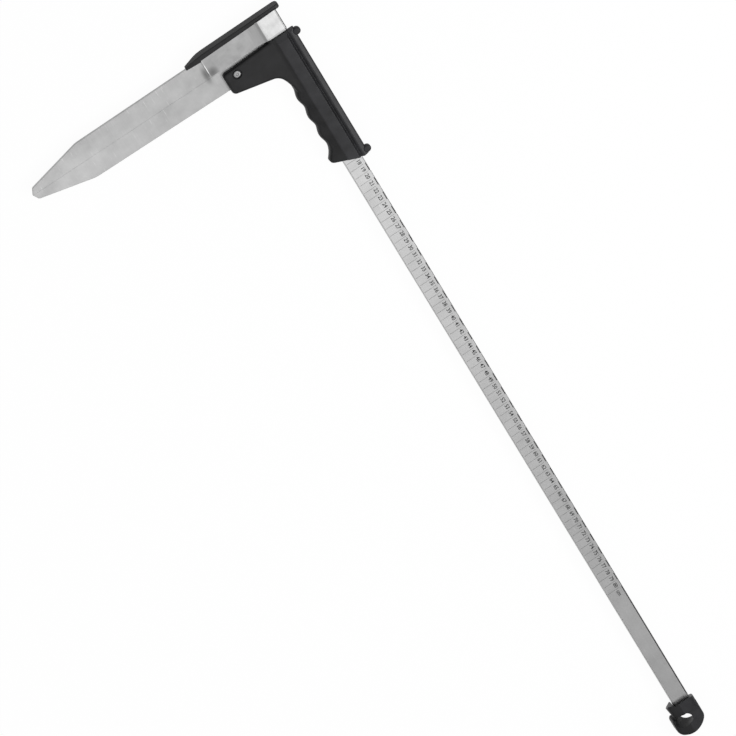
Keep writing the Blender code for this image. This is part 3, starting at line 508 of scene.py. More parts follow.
def add_piece(name, shape, body, slot, finish, *stands_for):
    """A finished shape as a piece of the tool, smooth over its rounds and crisp at its edges."""
    bmesh.ops.recalc_face_normals(shape, faces=shape.faces)
    shape.transform(TO_FRAME)
    mesh = as_mesh(name, shape)
    mesh.materials.append(finish)
    mesh.shade_smooth()
    mesh.set_sharp_from_angle(angle=radians(40))
    piece = in_scene(name, mesh)
    even = piece.modifiers.new("flat faces stay flat", "WEIGHTED_NORMAL")
    even.keep_sharp = True
    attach(piece, body)
    if stands_for:
        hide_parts(*stands_for)
    size = [round(value / MM, 1) for value in piece.dimensions]
    print(name, size, "mm,", len(mesh.polygons), "faces")
    return piece


ROOT, SLIDER = "beam_assembly", "slider"
print("pieces ride on", ROOT, "or", SLIDER)

# %% [markdown]
# ## The jaws
# Both jaws are the same pointed bar, 3 mm thick, and they meet edge to edge. Each is one outline with its
# rims eased, which gives the thin bright line that a handled metal edge has. The lower one is the upper one
# mirrored across the zero line.

# %% Cut the two jaws
JAW_FACE = 1.5           # half the bar's thickness
JAW_RIM = 0.45
CLOSING = 0.03           # half the hairline that the closed jaws leave
CLOSING_RIM = 0.15
JAW_TIP, JAW_SHOULDER = -295.8, -231.7
ROOT_WIDTH, SHOULDER_WIDTH = 24.6, 22.6
BLUNT = (3.4, 7.0)       # the blunt end: how far in from the tip it starts, and its height
RIVET_RADIUS = 2.5
STRAP_RIVETS = ("fixed_jaw_rivet_1", "fixed_jaw_rivet_2")


def jaw(side, root, rivets):
    """One jaw: side is 1 above the zero line and -1 below it."""
    edge = CLOSING
    shoulder = (JAW_SHOULDER, edge + SHOULDER_WIDTH)
    blunt = (JAW_TIP + BLUNT[0], edge + BLUNT[1])
    outline = [(root, edge), (root, edge + ROOT_WIDTH), shoulder, blunt, (JAW_TIP, edge)]
    shape = prism([(x, side * y) for x, y in outline], -JAW_FACE, JAW_FACE)
    for (x, y), size in ((blunt, 1.4), (shoulder, 3.0)):
        round_off(shape, uprights(shape, (x, side * y)), size)
    rims = level_edges(shape, JAW_FACE) + level_edges(shape, -JAW_FACE)
    closing = [edge for edge in rims if all(abs(vert.co.y) < 2 * CLOSING for vert in edge.verts)]
    round_off(shape, [edge for edge in rims if edge not in closing], JAW_RIM, 3)
    closing = edges_where(
        shape, lambda spot: abs(spot.y) < 2 * CLOSING and abs(abs(spot.z) - JAW_FACE) < TOUCH)
    round_off(shape, closing, CLOSING_RIM, 2)
    holes = [peg(RIVET_RADIUS + SEAT_GAP, *node_middle(rivet).xy, -5, 5) for rivet in rivets]
    return combined(shape, "DIFFERENCE", *holes)


fixed_root = node_box("fixed_jaw")[1].x
sliding_root = node_box("sliding_jaw")[1].x
add_piece("fixed_jaw_bar", jaw(1, fixed_root, STRAP_RIVETS), ROOT,
          "anodised_aluminium", JAW_METAL, "fixed_jaw")
add_piece("sliding_jaw_bar", jaw(-1, sliding_root, ("sliding_jaw_rivet",)), SLIDER,
          "anodised_aluminium", JAW_METAL, "sliding_jaw")

# %% [markdown]
# ## The head strap
# One strip of sheet folds round the beam's top end and comes back along both faces of the fixed jaw. The
# strip's outer line is pulled up into a ribbon, its folds are rounded, and a solidify gives it the sheet's
# thickness, just as the real one was folded from flat stock.

# %% Fold the strap
SHEET = 1.5
STRAP_DROP = 3.0         # how far the strap reaches below the plain solid
JOGGLE_LEFT, JOGGLE_KNEE, JOGGLE_RIGHT = -23.5, -15.6, -10.9
KNEE_RISE = 1.6
CLIMB, CLIMB_START = 0.038, -28.0    # mm up for each mm across, and the place where it is nought
strap_low, strap_high = node_box("head_strap")
plate_face = JAW_FACE + SEAT_GAP + SHEET
strap_bottom = strap_low.y - STRAP_DROP
half_path = [(strap_low.x, plate_face), (JOGGLE_LEFT, plate_face), (JOGGLE_KNEE, plate_face + KNEE_RISE),
             (JOGGLE_RIGHT, strap_high.z), (strap_high.x, strap_high.z)]
path = half_path + [(x, -z) for x, z in reversed(half_path)]

strap = bmesh.new()
line = [strap.verts.new((x, strap_bottom, z)) for x, z in path]
ribbon = [strap.edges.new(pair) for pair in zip(line, line[1:])]
pulled = bmesh.ops.extrude_edge_only(strap, edges=ribbon)
bmesh.ops.translate(strap, verts=points(pulled["geom"]), vec=(0, strap_high.y - strap_bottom, 0))


def lean(x):
    """How far the strap's upper edge climbs towards the beam."""
    return CLIMB * (x - CLIMB_START)


def folds(shape, x):
    """The edges along the beam at one place across it."""
    return lengthwise(edges_where(shape, lambda spot: abs(spot.x - x) < TOUCH))


round_off(strap, folds(strap, strap_high.x), 1.8, 6)
round_off(strap, folds(strap, JOGGLE_KNEE) + folds(strap, JOGGLE_LEFT), 1.9, 5)
round_off(strap, folds(strap, JOGGLE_RIGHT), 1.7, 5)
bmesh.ops.recalc_face_normals(strap, faces=strap.faces)
bmesh.ops.solidify(strap, geom=strap.faces[:], thickness=SHEET)
inside = min(abs(vert.co.z) for vert in strap.verts)
print("the plates stand", round(inside - JAW_FACE, 2), "mm off the jaw")

# %% Drill the strap and add it
RIVET_FIT = 0.08         # the rivets are ground flush, so they fill their holes
SCREW_RADIUS = 1.5
CORNER = 2.4             # the round of the lower right corner
HEAD_SCREWS = ("head_screw_1", "head_screw_2")
bmesh.ops.recalc_face_normals(strap, faces=strap.faces)
drills = [peg(RIVET_RADIUS + RIVET_FIT, *node_middle(rivet).xy, -9, 0) for rivet in STRAP_RIVETS]
drills += [peg(SCREW_RADIUS + SEAT_GAP, *node_middle(screw).xy, -9, 0) for screw in HEAD_SCREWS]
corner_x, corner_y = strap_high.x - CORNER, strap_bottom + CORNER
corner = combined(block((corner_x, strap_bottom - 1, -9), (strap_high.x + 1, corner_y, 9)), "DIFFERENCE",
                  peg(CORNER, corner_x, corner_y, -10, 10))
strap = combined(strap, "DIFFERENCE", *drills, corner)
for vert in strap.verts:
    vert.co.y += lean(vert.co.x) if vert.co.y > strap_high.y - TOUCH else 0.0
add_piece("folded_head_strap", strap, ROOT, "bright_steel", STRAP_METAL, "head_strap")

# %% [markdown]
# ## The strap's rivets
# Two rivets hold the fixed jaw between the plates. At the front they are ground flush and plated over, so
# nothing shows. At the back each has a low round head, which is a turned profile.

# %% Turn the strap's rivets
HEAD_ROUND = [(4.5, 0.0), (4.4, 0.35), (4.0, 0.62), (3.2, 0.85), (1.8, 0.97), (0.0, 1.0)]    # radius, rise
seat = -plate_face
for number, name in enumerate(STRAP_RIVETS, start=1):
    rise = seat - node_box(name)[0].z
    profile = [(0, JAW_FACE), (RIVET_RADIUS, JAW_FACE), (RIVET_RADIUS, seat)]
    profile += [(radius, seat - share * rise) for radius, share in HEAD_ROUND]
    add_piece("strap_rivet_%d" % number, turned(profile, *node_middle(name).xy), ROOT, "bright_steel",
              FIXING_METAL, name)

# %% [markdown]
# ## The guard
# A black moulded strip shields the top of the head and runs to a thin nose over the jaw. Its profile is
# drawn from the front, pulled to its depth, and rounded: a round right end, a soft back edge all along. A
# plug under it fills the beam's open end.

# %% Mould the guard
NOSE_LENGTH, NOSE_STEP, NOSE_TIP = 18.0, 1.4, 1.5    # of the thin end, its drop at the strap, its height
NOSE_SLIM = 0.6          # share of the depth that the nose loses
HEEL, HEEL_DROP, HEEL_RUN = 11.0, 1.6, 3.0           # past the beam the lower edge drops
PLUG = ((-8.2, 12.4, -3.2), (8.2, 28.0, 3.2))
GUARD_DROP, GUARD_REACH = 0.6, 1.3     # the top is lower than the plain solid's, and the end further out
TOP_CLIMB = 0.3          # share of the strap's climb that the top follows
guard_low, guard_high = node_box("top_guard")
guard_bottom, guard_top = strap_high.y + SEAT_GAP, guard_high.y - GUARD_DROP
nose_left, nose_right = guard_low.x + SEAT_GAP, strap_low.x - SEAT_GAP
nose_break = guard_low.x + NOSE_LENGTH
nose_floor = guard_bottom - NOSE_STEP
guard_end = guard_high.x + GUARD_REACH
profile = [(nose_left, nose_floor), (nose_right, nose_floor), (nose_right, guard_bottom),
           (guard_end, guard_bottom), (guard_end, guard_top), (nose_break, guard_top),
           (nose_left, nose_floor + NOSE_TIP)]
guard = prism(profile, guard_low.z, guard_high.z)
round_off(guard, uprights(guard, (nose_break, guard_top)), 6.0, 6)
round_off(guard, folds(guard, guard_end), 4.6, 8)
round_off(guard, uprights(guard, (nose_left, nose_floor + NOSE_TIP)), 0.7, 3)
crown = [edge for edge in guard.edges if edge.calc_face_angle(0) > radians(60)
         and any(vert.co.y > guard_bottom + TOUCH for vert in edge.verts)]
round_off(guard, crown, 1.1, 4)
for vert in guard.verts:
    slender = eased((nose_break - vert.co.x) / (nose_break - guard_low.x))
    vert.co.z *= 1 - NOSE_SLIM * slender
    low_edge = lean(vert.co.x) - HEEL_DROP * eased((vert.co.x - HEEL) / HEEL_RUN)
    vert.co.y += low_edge if vert.co.y < guard_bottom + TOUCH else TOP_CLIMB * lean(vert.co.x)
guard = combined(guard, "UNION", block(*PLUG))
add_piece("moulded_top_guard", guard, ROOT, "black_moulding", BLACK_NYLON, "top_guard")

# %% [markdown]
# ## The grip's two forms
# Seen from the front, the grip is an ear that carries the sliding jaw, and a handle with three soft bumps for
# the fingers and a lobe that stops the hand. The ear is an outline pulled up, with eased rims. The handle is
# a section run along the beam and subdivided into many rings, and the finger side of every ring is then
# pushed out by the bumps and the lobe, which keeps that side round from front to back.

# %% Draw the ear
GRIP_TOP, GRIP_BOTTOM = -0.1, -170.6
EAR_LEFT = -69.6
FINGER_X = -14.4
SPINE_X = 17.8


def ear(low, high, rim_height):
    """The ear between two heights: its lower edge sweeps down into the finger side of the handle."""
    top, end = (EAR_LEFT, -3.6), (EAR_LEFT, -29.2)
    turn, sweep = (-21.2, -40.75), (FINGER_X - 0.8, -53.0)
    within = [(-10.0, -84.0), (0.0, -84.0), (0.0, -0.3)]    # these corners end inside the handle
    plate = prism([top, end, turn, sweep, *within], low, high)
    round_off(plate, uprights(plate, turn), 5.8, 6)
    round_off(plate, uprights(plate, sweep), 6.5, 5)
    round_off(plate, uprights(plate, top, end), 3.8, 6)
    round_off(plate, level_edges(plate, rim_height), 3.2, 6)
    return plate


# %% Draw the handle
BUMP, BUMPS_START, BUMP_PITCH, BUMP_COUNT = 1.12, -63.8, 24.7, 3
LOBE, LOBE_START, LOBE_LENGTH, LOBE_TIP = 7.0, -138.6, 17.0, 6.0
RINGS = 90
FADE = 9.0               # how far in from the finger side the push fades out
SLOPE = radians(-28)     # how the top ends fall away to the back
SLANT_POINT = Vector((10.5, GRIP_BOTTOM, 0))
SLANT_NORMAL = Vector((-13.9, -31.2, 0)).normalized()


def finger_push(y):
    """How far the finger side stands out at a place along the beam."""
    run = (BUMPS_START - y) / BUMP_PITCH
    bumps = BUMP * (1 - cos(2 * pi * run)) if 0 < run < BUMP_COUNT else 0.0
    rise = min(max((LOBE_START - y) / LOBE_LENGTH, 0.0), 1.0)
    tip = eased((LOBE_START - LOBE_LENGTH - y) / LOBE_TIP)
    return bumps + LOBE * rise * rise - tip


def whole(shape):
    return shape.verts[:] + shape.edges[:] + shape.faces[:]


def trim(shape, place, normal, rim=0.0):
    """Cut off what is past a plane, close the cut and ease its rim."""
    place, normal = Vector(place), Vector(normal).normalized()
    bmesh.ops.bisect_plane(shape, geom=whole(shape), plane_co=place, plane_no=normal, clear_outer=True)
    bmesh.ops.holes_fill(shape, edges=shape.edges, sides=0)
    bmesh.ops.recalc_face_normals(shape, faces=shape.faces)
    edges = edges_where(shape, lambda spot: abs((spot - place).dot(normal)) < TOUCH)
    return round_off(shape, edges, rim, 3) if rim else shape


def handle(corners, *cuts):
    """A section of (x, z, round) corners run along the grip, trimmed, its finger side pushed out."""
    shape = along_beam([(x, z) for x, z, size in corners], GRIP_BOTTOM, GRIP_TOP)
    for x, z, size in corners:
        edges = edges_where(shape, lambda spot: abs(spot.x - x) < TOUCH and abs(spot.z - z) < TOUCH)
        if size:
            round_off(shape, edges, size, 6)
    for place, normal, rim in [(SLANT_POINT, SLANT_NORMAL, 0.3), *cuts]:
        trim(shape, place, normal, rim)
    bmesh.ops.subdivide_edges(shape, edges=lengthwise(shape.edges, 100), cuts=RINGS)
    for vert in shape.verts:
        vert.co.x -= finger_push(vert.co.y) * eased((FINGER_X + FADE - vert.co.x) / FADE)
    return shape


def slope(left, y, z):
    """A cutter for a top end that falls away to the back, right of a place across the tool."""
    wedge = block((left, 0, -30), (30, 30, 30))
    return moved(wedge, Matrix.Rotation(SLOPE, 3, "X"), (0, y, z))


print("the lobe stands out", round(finger_push(-156), 2), "mm")

# %% [markdown]
# ## What the grip holds
# Inside the shells are the beam's channel, the slot for the jaw, and pockets for the pads, nuts, adjusters
# and spring. Each pocket is the box of the solid that it holds, grown by the gap around it, so the shells
# always fit what is in them.

# %% Cut the spaces inside the grip
PADS = ["glide_pad_%s_%s" % (end, side) for end in ("upper", "lower") for side in ("jaw", "spine")]
NUTS = ["adjuster_nut_upper", "adjuster_nut_lower"]
ADJUSTERS = ["adjuster_screw_upper", "adjuster_screw_lower"]
GRIP_SCREWS = ["grip_screw_1", "grip_screw_2"]
LOBE_SCREW = (-15.6, -155.5, -3.6)       # its head sits deep, under the round of the lobe
SCREW_SEAT = -7.6
SHANK, HEAD = 1.25, 2.25                 # radii of the grip's screws
ADJUSTER_RADIUS = 2.0
screw_top = node_box("grip_screw_1")[1].z
screw_places = [(*node_middle(name).xy, SCREW_SEAT) for name in GRIP_SCREWS] + [LOBE_SCREW]


def grip_spaces():
    """Fresh cutters for everything that both shells leave room for."""
    spaces = [block(*node_box("beam"), grow=RUN_GAP)]
    for name in ["sliding_jaw", "brake_spring", *PADS, *NUTS]:
        spaces.append(block(*node_box(name), grow=SEAT_GAP))
    for name in ADJUSTERS:
        low, high = node_box(name)
        rod = peg(ADJUSTER_RADIUS + SEAT_GAP, 0, 0, low.x, high.x + 4)
        middle = node_middle(name)
        spaces.append(moved(rod, Matrix.Rotation(pi / 2, 3, "Y"), (0, middle.y, middle.z)))
    x, y, z = node_middle("sliding_jaw_rivet")
    spaces.append(peg(RIVET_RADIUS + SEAT_GAP, x, y, -20, 20))
    for x, y, seat in screw_places:
        spaces.append(peg(SHANK + SEAT_GAP, x, y, -20, screw_top + SEAT_GAP))
        spaces.append(peg(HEAD + SEAT_GAP, x, y, -20, seat + SEAT_GAP))
    return spaces


print("spaces inside the grip:", len(grip_spaces()))

# %% [markdown]
# ## The front shell
# The front half carries what the hand and eye meet: the ear's flat face, a broad rib over the beam, a V
# groove and a slim spine strip beside it, and a short round lug at each end of the strip. All but the ear and
# the lugs are in the handle's section. The rib's top end slopes down to the ear, so one leaning cut trims it,
# and the spine's top end falls away to the back.

# %% Mould the front shell
PARTING = 0.15           # half the gap between the shells
EAR_FRONT, RIB_FRONT, SPINE_FRONT = 7.0, 10.0, 8.6
RIB_TRIM = ((0, GRIP_TOP, 7.6), (0, 0.40, 0.92), 0.0)    # a place, a direction, no round
SPINE_FALL = (10.6, GRIP_TOP, 3.4)                       # where the spine's top end starts to fall
LUG_RADIUS, LUG_TOP, LUG_FOOT = 4.3, SPINE_FRONT + 0.3, 4.4
LUG_ROUND = [(2.6, 0.0), (3.3, 0.2), (3.9, 0.7), (4.2, 1.3), (LUG_RADIUS, 2.0)]    # radius, drop
LUGS = [(SPINE_X + 0.8, GRIP_TOP - 5.8), (SPINE_X + 0.4, GRIP_BOTTOM + 5.0)]
RECESS = 6.0                                             # the height of the seat for the rivet's head
front_section = [
    (FINGER_X, PARTING, 0), (FINGER_X, 3.8, 3.2), (-4.6, RIB_FRONT, 1.0), (6.9, RIB_FRONT, 0.5),
    (9.3, 6.6, 0.4), (12.1, SPINE_FRONT + 0.2, 0.9), (SPINE_X, SPINE_FRONT - 1.5, 1.8), (SPINE_X, PARTING, 0)]
lug_profile = [(0, LUG_TOP), *[(radius, LUG_TOP - drop) for radius, drop in LUG_ROUND],
               (LUG_RADIUS, LUG_FOOT), (0, LUG_FOOT)]
front = combined(handle(front_section, RIB_TRIM), "DIFFERENCE", slope(*SPINE_FALL))
front = combined(front, "UNION", ear(PARTING + HAIR, EAR_FRONT, EAR_FRONT),
                 *[turned(lug_profile, *place) for place in LUGS])
x, y, z = node_middle("sliding_jaw_rivet")
recess = turned([(0, RECESS), (5.1, RECESS), (5.1, 6.6), (5.6, 7.2), (5.6, 9.0), (0, 9.0)], x, y)
front = combined(front, "DIFFERENCE", *grip_spaces(), recess)
add_piece("moulded_front_shell", front, SLIDER, "black_moulding", BLACK_NYLON, "grip_front_shell")

# %% [markdown]
# ## The rear shell
# The rear half has the same forms with a flat back: a rounded finger side, eased rims, three counterbored
# screws and a round well that the rivet was closed in.

# %% Mould the rear shell
BACK = -10.0
WELL_RADIUS, WELL_DEPTH = 5.1, 4.0
rear_section = [(FINGER_X, -PARTING, 0), (SPINE_X, -PARTING, 0), (SPINE_X, BACK, 2.2), (FINGER_X, BACK, 9.2)]
rear = combined(handle(rear_section), "DIFFERENCE", slope(*SPINE_FALL))
rear = combined(rear, "UNION", ear(BACK + HAIR, -PARTING - HAIR, BACK + HAIR))
well = peg(WELL_RADIUS, x, y, BACK - 5, BACK + WELL_DEPTH)
rear = combined(rear, "DIFFERENCE", *grip_spaces(), well)
add_piece("moulded_rear_shell", rear, SLIDER, "black_moulding", BLACK_NYLON, "grip_rear_shell")

# %% Turn the screw in the lobe
HEAD_HEIGHT, HEAD_EASE = 1.8, 0.6
screw_x, screw_y, seat = LOBE_SCREW
screw_end = seat - HEAD_HEIGHT
screw = turned([(0, screw_top), (SHANK, screw_top), (SHANK, seat), (HEAD, seat),
                (HEAD, screw_end + HEAD_EASE), (1.7, screw_end), (0, screw_end)],
               screw_x, screw_y, steps=24)
add_piece("lobe_screw", screw, SLIDER, "bright_steel", FIXING_METAL, "grip_screw_3")

# %% [markdown]
# ## The ear's rivet
# The sliding jaw hangs on one dimpled rivet. It is a turned profile: a low round head with a dimple at the
# front, the shank, and the head that was closed over a washer at the back.

# %% Turn the rivet
DIMPLE = 0.5             # deep
rivet_low, rivet_high = node_box("sliding_jaw_rivet")
head_under, head_top = RECESS + SEAT_GAP, rivet_high.z
tail = node_box("rivet_washer")[0].z - SEAT_GAP
rivet = turned([
    (0, head_top - DIMPLE), (1.0, head_top - DIMPLE), (1.5, head_top), (2.8, head_top), (3.5, head_top - 0.2),
    (3.9, head_top - 0.7), (4.0, head_under), (RIVET_RADIUS, head_under), (RIVET_RADIUS, tail), (3.6, tail),
    (3.4, tail - 0.6), (2.6, rivet_low.z), (0, rivet_low.z)], x, y)
add_piece("dimpled_rivet", rivet, SLIDER, "bright_steel", RIVET_METAL, "sliding_jaw_rivet")

# %% [markdown]
# ## The end cap
# A black moulded cap closes the beam's lower end, and below its socket a hook curls round an eye to hang the
# tool by. The socket is a rounded block. Leaning planes cut its mouth, which falls away to the back, its
# shoulder and its tapered side. The hook is an outline with fat soft rims, and the eye is a leaning bore that
# a slit opens to one side.

# %% Mould the socket of the cap
MOUTH = -971.35
CAP_LEFT, CAP_RIGHT = -19.0, 14.1
CAP_DEPTH = 10.0         # half of it
MOUTH_CUT = ((0, MOUTH, CAP_DEPTH), (0.18, 1.0, -0.38))                 # a place and a direction
SHOULDER_CUT = ((-11.5, MOUTH + 0.75, 0), (-0.46, 0.77, -0.45))
TAPER_CUT = ((CAP_LEFT, MOUTH - 4.5, 0), (-0.98, -0.17, 0.0))
MOUTH_FALL = (-10.8, MOUTH - 1.0, CAP_DEPTH)                            # right of this the mouth falls away
socket = along_beam([(CAP_LEFT, -CAP_DEPTH), (CAP_RIGHT, -CAP_DEPTH), (CAP_RIGHT, CAP_DEPTH),
                     (CAP_LEFT, CAP_DEPTH)], MOUTH - 17, MOUTH + 20)
round_off(socket, lengthwise(socket.edges), 7.0, 8)
for place, normal in (TAPER_CUT, MOUTH_CUT, SHOULDER_CUT):
    trim(socket, place, normal)
planes = [(Vector(place), Vector(normal).normalized()) for place, normal in (MOUTH_CUT, SHOULDER_CUT)]
rim = [edge for edge in socket.edges if all(vert.co.z > -CAP_DEPTH / 2 for vert in edge.verts) and 1 == sum(
    all(abs((vert.co - place).dot(normal)) < TOUCH for vert in edge.verts) for place, normal in planes)]
round_off(socket, rim, 0.4, 2)
print("socket:", len(socket.faces), "faces")

# %% Mould the hook and cut the eye
HOOK_DEPTH = 8.0         # half of it
HOOK_LEFT = -21.7
EYE, EYE_RADIUS = (-3.75, -998.0), 8.6
EYE_LEAN = Vector((-0.65, 0.2, 1.0))     # the eye's axis
SLIT, SLIT_HALF, SLIT_TURN = (-3.6, -998.7), 1.5, radians(147)
hook_corners = [(CAP_RIGHT, MOUTH - 12.0), (CAP_RIGHT, MOUTH - 35.7), (6.0, MOUTH - 45.2),
                (-7.5, MOUTH - 49.4), (HOOK_LEFT, MOUTH - 40.7), (HOOK_LEFT, MOUTH - 18.3)]
hook = prism(hook_corners, -HOOK_DEPTH, HOOK_DEPTH)
round_off(hook, uprights(hook, hook_corners[1]), 4.0, 6)
round_off(hook, uprights(hook, hook_corners[2]), 5.5, 6)
round_off(hook, uprights(hook, *hook_corners[3:5]), 6.5, 8)
round_off(hook, uprights(hook, hook_corners[5]), 4.8, 8)
round_off(hook, level_edges(hook, HOOK_DEPTH) + level_edges(hook, -HOOK_DEPTH), 3.0, 6)
leaning = Vector((0, 0, 1)).rotation_difference(EYE_LEAN).to_matrix()
bore = moved(peg(EYE_RADIUS, 0, 0, -20, 20), leaning, (*EYE, 0))
slit = moved(block((0, -SLIT_HALF, -9), (30, SLIT_HALF, 9)), Matrix.Rotation(SLIT_TURN, 3, "Z"), (*SLIT, 0))
print("eye:", 2 * EYE_RADIUS, "mm wide, slit:", 2 * SLIT_HALF, "mm")

# %% Join the cap and cut it
CAP_SCREW_HEAD = 3.0     # radius of its counterbore
x, y, z = node_middle("cap_screw")
seat = node_box("cap_screw")[0].z + HEAD_HEIGHT
counterbore, hole = peg(CAP_SCREW_HEAD, x, y, -12, seat), peg(SCREW_RADIUS + SEAT_GAP, x, y, -12, 0)
cap = combined(socket, "UNION", hook)
cap = combined(cap, "DIFFERENCE", block(*node_box("beam"), grow=SEAT_GAP), bore, slit, slope(*MOUTH_FALL),
               counterbore, hole)
add_piece("moulded_hook_cap", cap, ROOT, "black_moulding", BLACK_NYLON, "end_hook_cap")

# %% [markdown]
# ## The printed scale
# The beam's face is printed in centimetres: a numeral before each centimetre line, a fine line across the
# face, and a band at the right edge that is black for every other centimetre and a thin edge line for the
# rest. The print is given the thickness of a raised ink film, a few hundredths of a millimetre, so it sits on
# the metal as real ink does.

# %% Print lines and the edge band
INK = 0.05
FACE = node_box("beam")[1].z
CM = 10                  # mm
LAST = 80                # centimetres
BAND = (8.4, 9.5)
EDGE_LINE = (9.3, 9.55)
TICK = (-8.6, 6.2)
TICK_WIDTH = 0.24


def ink(x0, x1, y0, y1):
    return block((x0, y0, FACE), (x1, y1, FACE + INK))


def gather(shapes):
    """Several shapes as one."""
    gathered = bmesh.new()
    for shape in shapes:
        mesh = as_mesh("passing", shape)
        gathered.from_mesh(mesh)
        bpy.data.meshes.remove(mesh)
    return gathered


band = [ink(*BAND, -CM * (even + 1), -CM * even) for even in range(0, LAST, 2)]
band.append(ink(*BAND, MOUTH + 1.0, -CM * LAST))
band += [ink(*EDGE_LINE, -CM * (odd + 1), -CM * odd) for odd in range(1, LAST, 2)]
lines = [ink(*TICK, -CM * number - TICK_WIDTH / 2, -CM * number + TICK_WIDTH / 2)
         for number in range(1, LAST + 1)]
add_piece("scale_edge_band", gather(band), ROOT, "black_moulding", SCALE_INK)
add_piece("scale_lines", gather(lines), ROOT, "black_moulding", SCALE_INK)

# %% Print the numerals
NUMERAL_SIZE = 6.2       # of the letter's body; its figures stand about 4.5 mm tall
NUMERAL_X = 3.5
NUMERAL_FAT = 0.09       # the ink spreads past the figures' edges


def printed(words, x, y):
    """Words that read down the beam, with their tops to the right."""
    letters = bpy.data.curves.new("letters", "FONT")
    letters.body, letters.size, letters.extrude = words, NUMERAL_SIZE, INK / 2
    letters.align_x, letters.align_y, letters.resolution_u = "CENTER", "CENTER", 2
    letters.offset = NUMERAL_FAT
    shape = shape_of(in_scene("letters", letters))
    bpy.data.curves.remove(letters)
    bmesh.ops.remove_doubles(shape, verts=shape.verts, dist=TOUCH / 10)
    return moved(shape, Matrix.Rotation(-pi / 2, 3, "Z"), (x, y, FACE + INK / 2))


numerals = [printed(str(number), NUMERAL_X, CM / 2 - CM * number) for number in range(1, LAST + 1)]
numerals.append(printed("cm", NUMERAL_X - 0.8, -CM * LAST - 6))
add_piece("scale_numerals", gather(numerals), ROOT, "black_moulding", SCALE_INK)

# %% [markdown]
# ## Finishes for the pieces that stay as they are
# The beam, the screws, the washer and what is inside the grip are good as the frame has them. They only need
# their finish.

# %% Dress the other solids
dressed = {"beam": BEAM_METAL, "brake_spring": SPRING_STEEL}
dressed.update({name: ACETAL for name in PADS})
dressed.update({name: BRASS for name in NUTS + ADJUSTERS})
dressed.update({name: FIXING_METAL for name in ["rivet_washer", "cap_screw", *GRIP_SCREWS, *HEAD_SCREWS]})
for name, finish in dressed.items():
    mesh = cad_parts[name].data
    mesh.materials.clear()
    mesh.materials.append(finish)
print("dressed", len(dressed), "solids of the frame")

# %% [markdown]
# ## The studio
# The tool lies on a white table under a broad soft light, in front of a white surround, and a smaller panel
# at the side brightens the faces that turn to it. The table and the surround are white to the camera and to
# reflections, at a strength of 1, and the lamps stay at a plain level. Most of the table's white is painted
# by its own glow, so only a faint shadow is left.

# %% Lay the table
TABLE = 12.0             # metres
TABLE_DROP = 0.0005      # metres under the tool
TABLE_GLOW = 0.96        # share of the table's white that is its own
sheet = bmesh.new()
bmesh.ops.create_grid(sheet, x_segments=1, y_segments=1, size=TABLE / 2)
bmesh.ops.translate(sheet, verts=sheet.verts, vec=(0, 0, frame_bounds[0][2] - TABLE_DROP))
table_mesh = as_mesh("table", sheet)
table = in_scene("table", table_mesh)

white, tree, shader, place = start_finish("white table", Base_Color=linear("#f4f4f4"), Roughness=0.8)
ray = add(tree, "ShaderNodeLightPath").outputs
seen = add(tree, "ShaderNodeMath", {0: ray["Is Camera Ray"], 1: ray["Is Glossy Ray"]}, operation="MAXIMUM")
seen = times(tree, seen.outputs[0], TABLE_GLOW)
glow = add(tree, "ShaderNodeEmission", {"Color": (1, 1, 1, 1), "Strength": 1.0})
blend = add(tree, "ShaderNodeMixShader", {0: seen, 1: shader.outputs[0], 2: glow.outputs[0]})
tree.links.new(blend.outputs[0], tree.nodes["Material Output"].inputs["Surface"])
table_mesh.materials.append(white)
print("table:", TABLE, "m wide")

# %% Light the room
SIDE_DISTANCE, SIDE_WAY = 2.0, Vector((0.547, -0.472, 0.690))    # metres, and the way from the head
world = bpy.data.worlds.new("white surround")
bpy.context.scene.world = world
world.use_nodes = True
tree = world.node_tree
ray = add(tree, "ShaderNodeLightPath").outputs
direct = ray["Is Camera Ray"]
for kind in ("Is Glossy Ray", "Is Transmission Ray"):
    direct = add(tree, "ShaderNodeMath", {0: direct, 1: ray[kind]}, operation="MAXIMUM").outputs[0]
strength = ramp(tree, direct, 0.0, 1.0, 0.9, 1.0)
background = tree.nodes["Background"]
background.inputs["Color"].default_value = (1, 1, 1, 1)
tree.links.new(strength, background.inputs["Strength"])


def hang_panel(name, width, height, watts, place):
    """A rectangular lamp, in metres, facing down."""
    light = bpy.data.lights.new(name, "AREA")
    light.shape, light.size, light.size_y, light.energy = "RECTANGLE", width, height, watts
    lamp = in_scene(name, light)
    lamp.location = place
    print(name + ":", watts, "W over", width, "x", height, "m")
    return lamp


hang_panel("soft panel", 2.4, 1.6, 3.0, (0.0, 0.2, 1.6))
side = hang_panel("side panel", 0.8, 0.8, 13.0, ZERO + SIDE_DISTANCE * SIDE_WAY)
side.rotation_euler = (side.location - ZERO).to_track_quat("Z", "Y").to_euler()

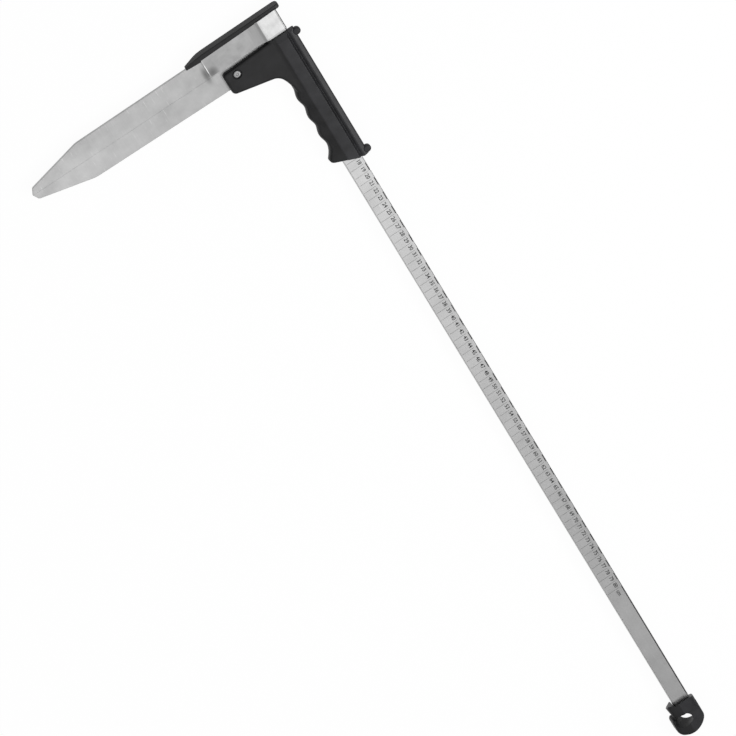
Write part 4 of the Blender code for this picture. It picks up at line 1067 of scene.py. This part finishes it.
# %% [markdown]
# ## The dark curtain
# Under an all-white sky a black moulding turns to one flat grey, because every face mirrors the same white.
# A photographer stands dark flags low around the table: faces that lean to the side mirror them and go
# darker, and the forms can be read. Here it is one ring, high on one side and low elsewhere, which the camera
# looks through.

# %% Stand the curtain
CURTAIN_RADIUS, CURTAIN_HEIGHT, CURTAIN_LOW = 2.4, 2.0, 0.9    # metres
CURTAIN_SIDE = Vector((0.70, -0.71, 0))      # where it is high
CURTAIN_RAMP = 0.5       # how soon, towards that side, it is fully raised
ring = bmesh.new()
bmesh.ops.create_circle(ring, segments=64, radius=CURTAIN_RADIUS)
hem = bmesh.ops.extrude_edge_only(ring, edges=ring.edges[:])
for vert in points(hem["geom"]):
    raised = eased(vert.co.normalized().dot(CURTAIN_SIDE) / CURTAIN_RAMP)
    vert.co.z = CURTAIN_LOW + (CURTAIN_HEIGHT - CURTAIN_LOW) * raised
curtain_mesh = as_mesh("curtain", ring)
curtain = in_scene("curtain", curtain_mesh)
curtain.visible_camera = False
cloth, tree, shader, place = start_finish("dark curtain", Base_Color=linear("#2c2c2c"), Roughness=0.9)
curtain_mesh.materials.append(cloth)
print("curtain:", CURTAIN_LOW, "to", CURTAIN_HEIGHT, "m high")

# %% [markdown]
# ## The camera
# The picture is taken from above the head of the tool with a long lens, rolled so that the beam runs from
# the upper left to the lower right. The place and the three axes come from the corners of the tool.

# %% Aim the camera
IMAGE_WIDTH = 736
FOCAL = 5484.17          # in pixels of that image
SENSOR = 36.0            # mm
EYE_POINT = Vector((-393.589, 2629.343, 4887.992))    # mm from the zero of the scale
AXES = Matrix(((0.83118, 0.55366, -0.05101), (-0.44927, 0.72284, 0.52503), (0.32756, -0.41348, 0.84955)))
view = bpy.data.cameras.new("camera")
view.sensor_width = SENSOR
view.lens = SENSOR * FOCAL / IMAGE_WIDTH
view.clip_end = 50.0
camera = in_scene("camera", view)
camera.matrix_world = Matrix.Translation(TO_FRAME @ EYE_POINT) @ AXES.to_4x4()
bpy.context.scene.camera = camera
bpy.context.scene.view_settings.view_transform = "Standard"
print("lens:", round(view.lens, 2), "mm")
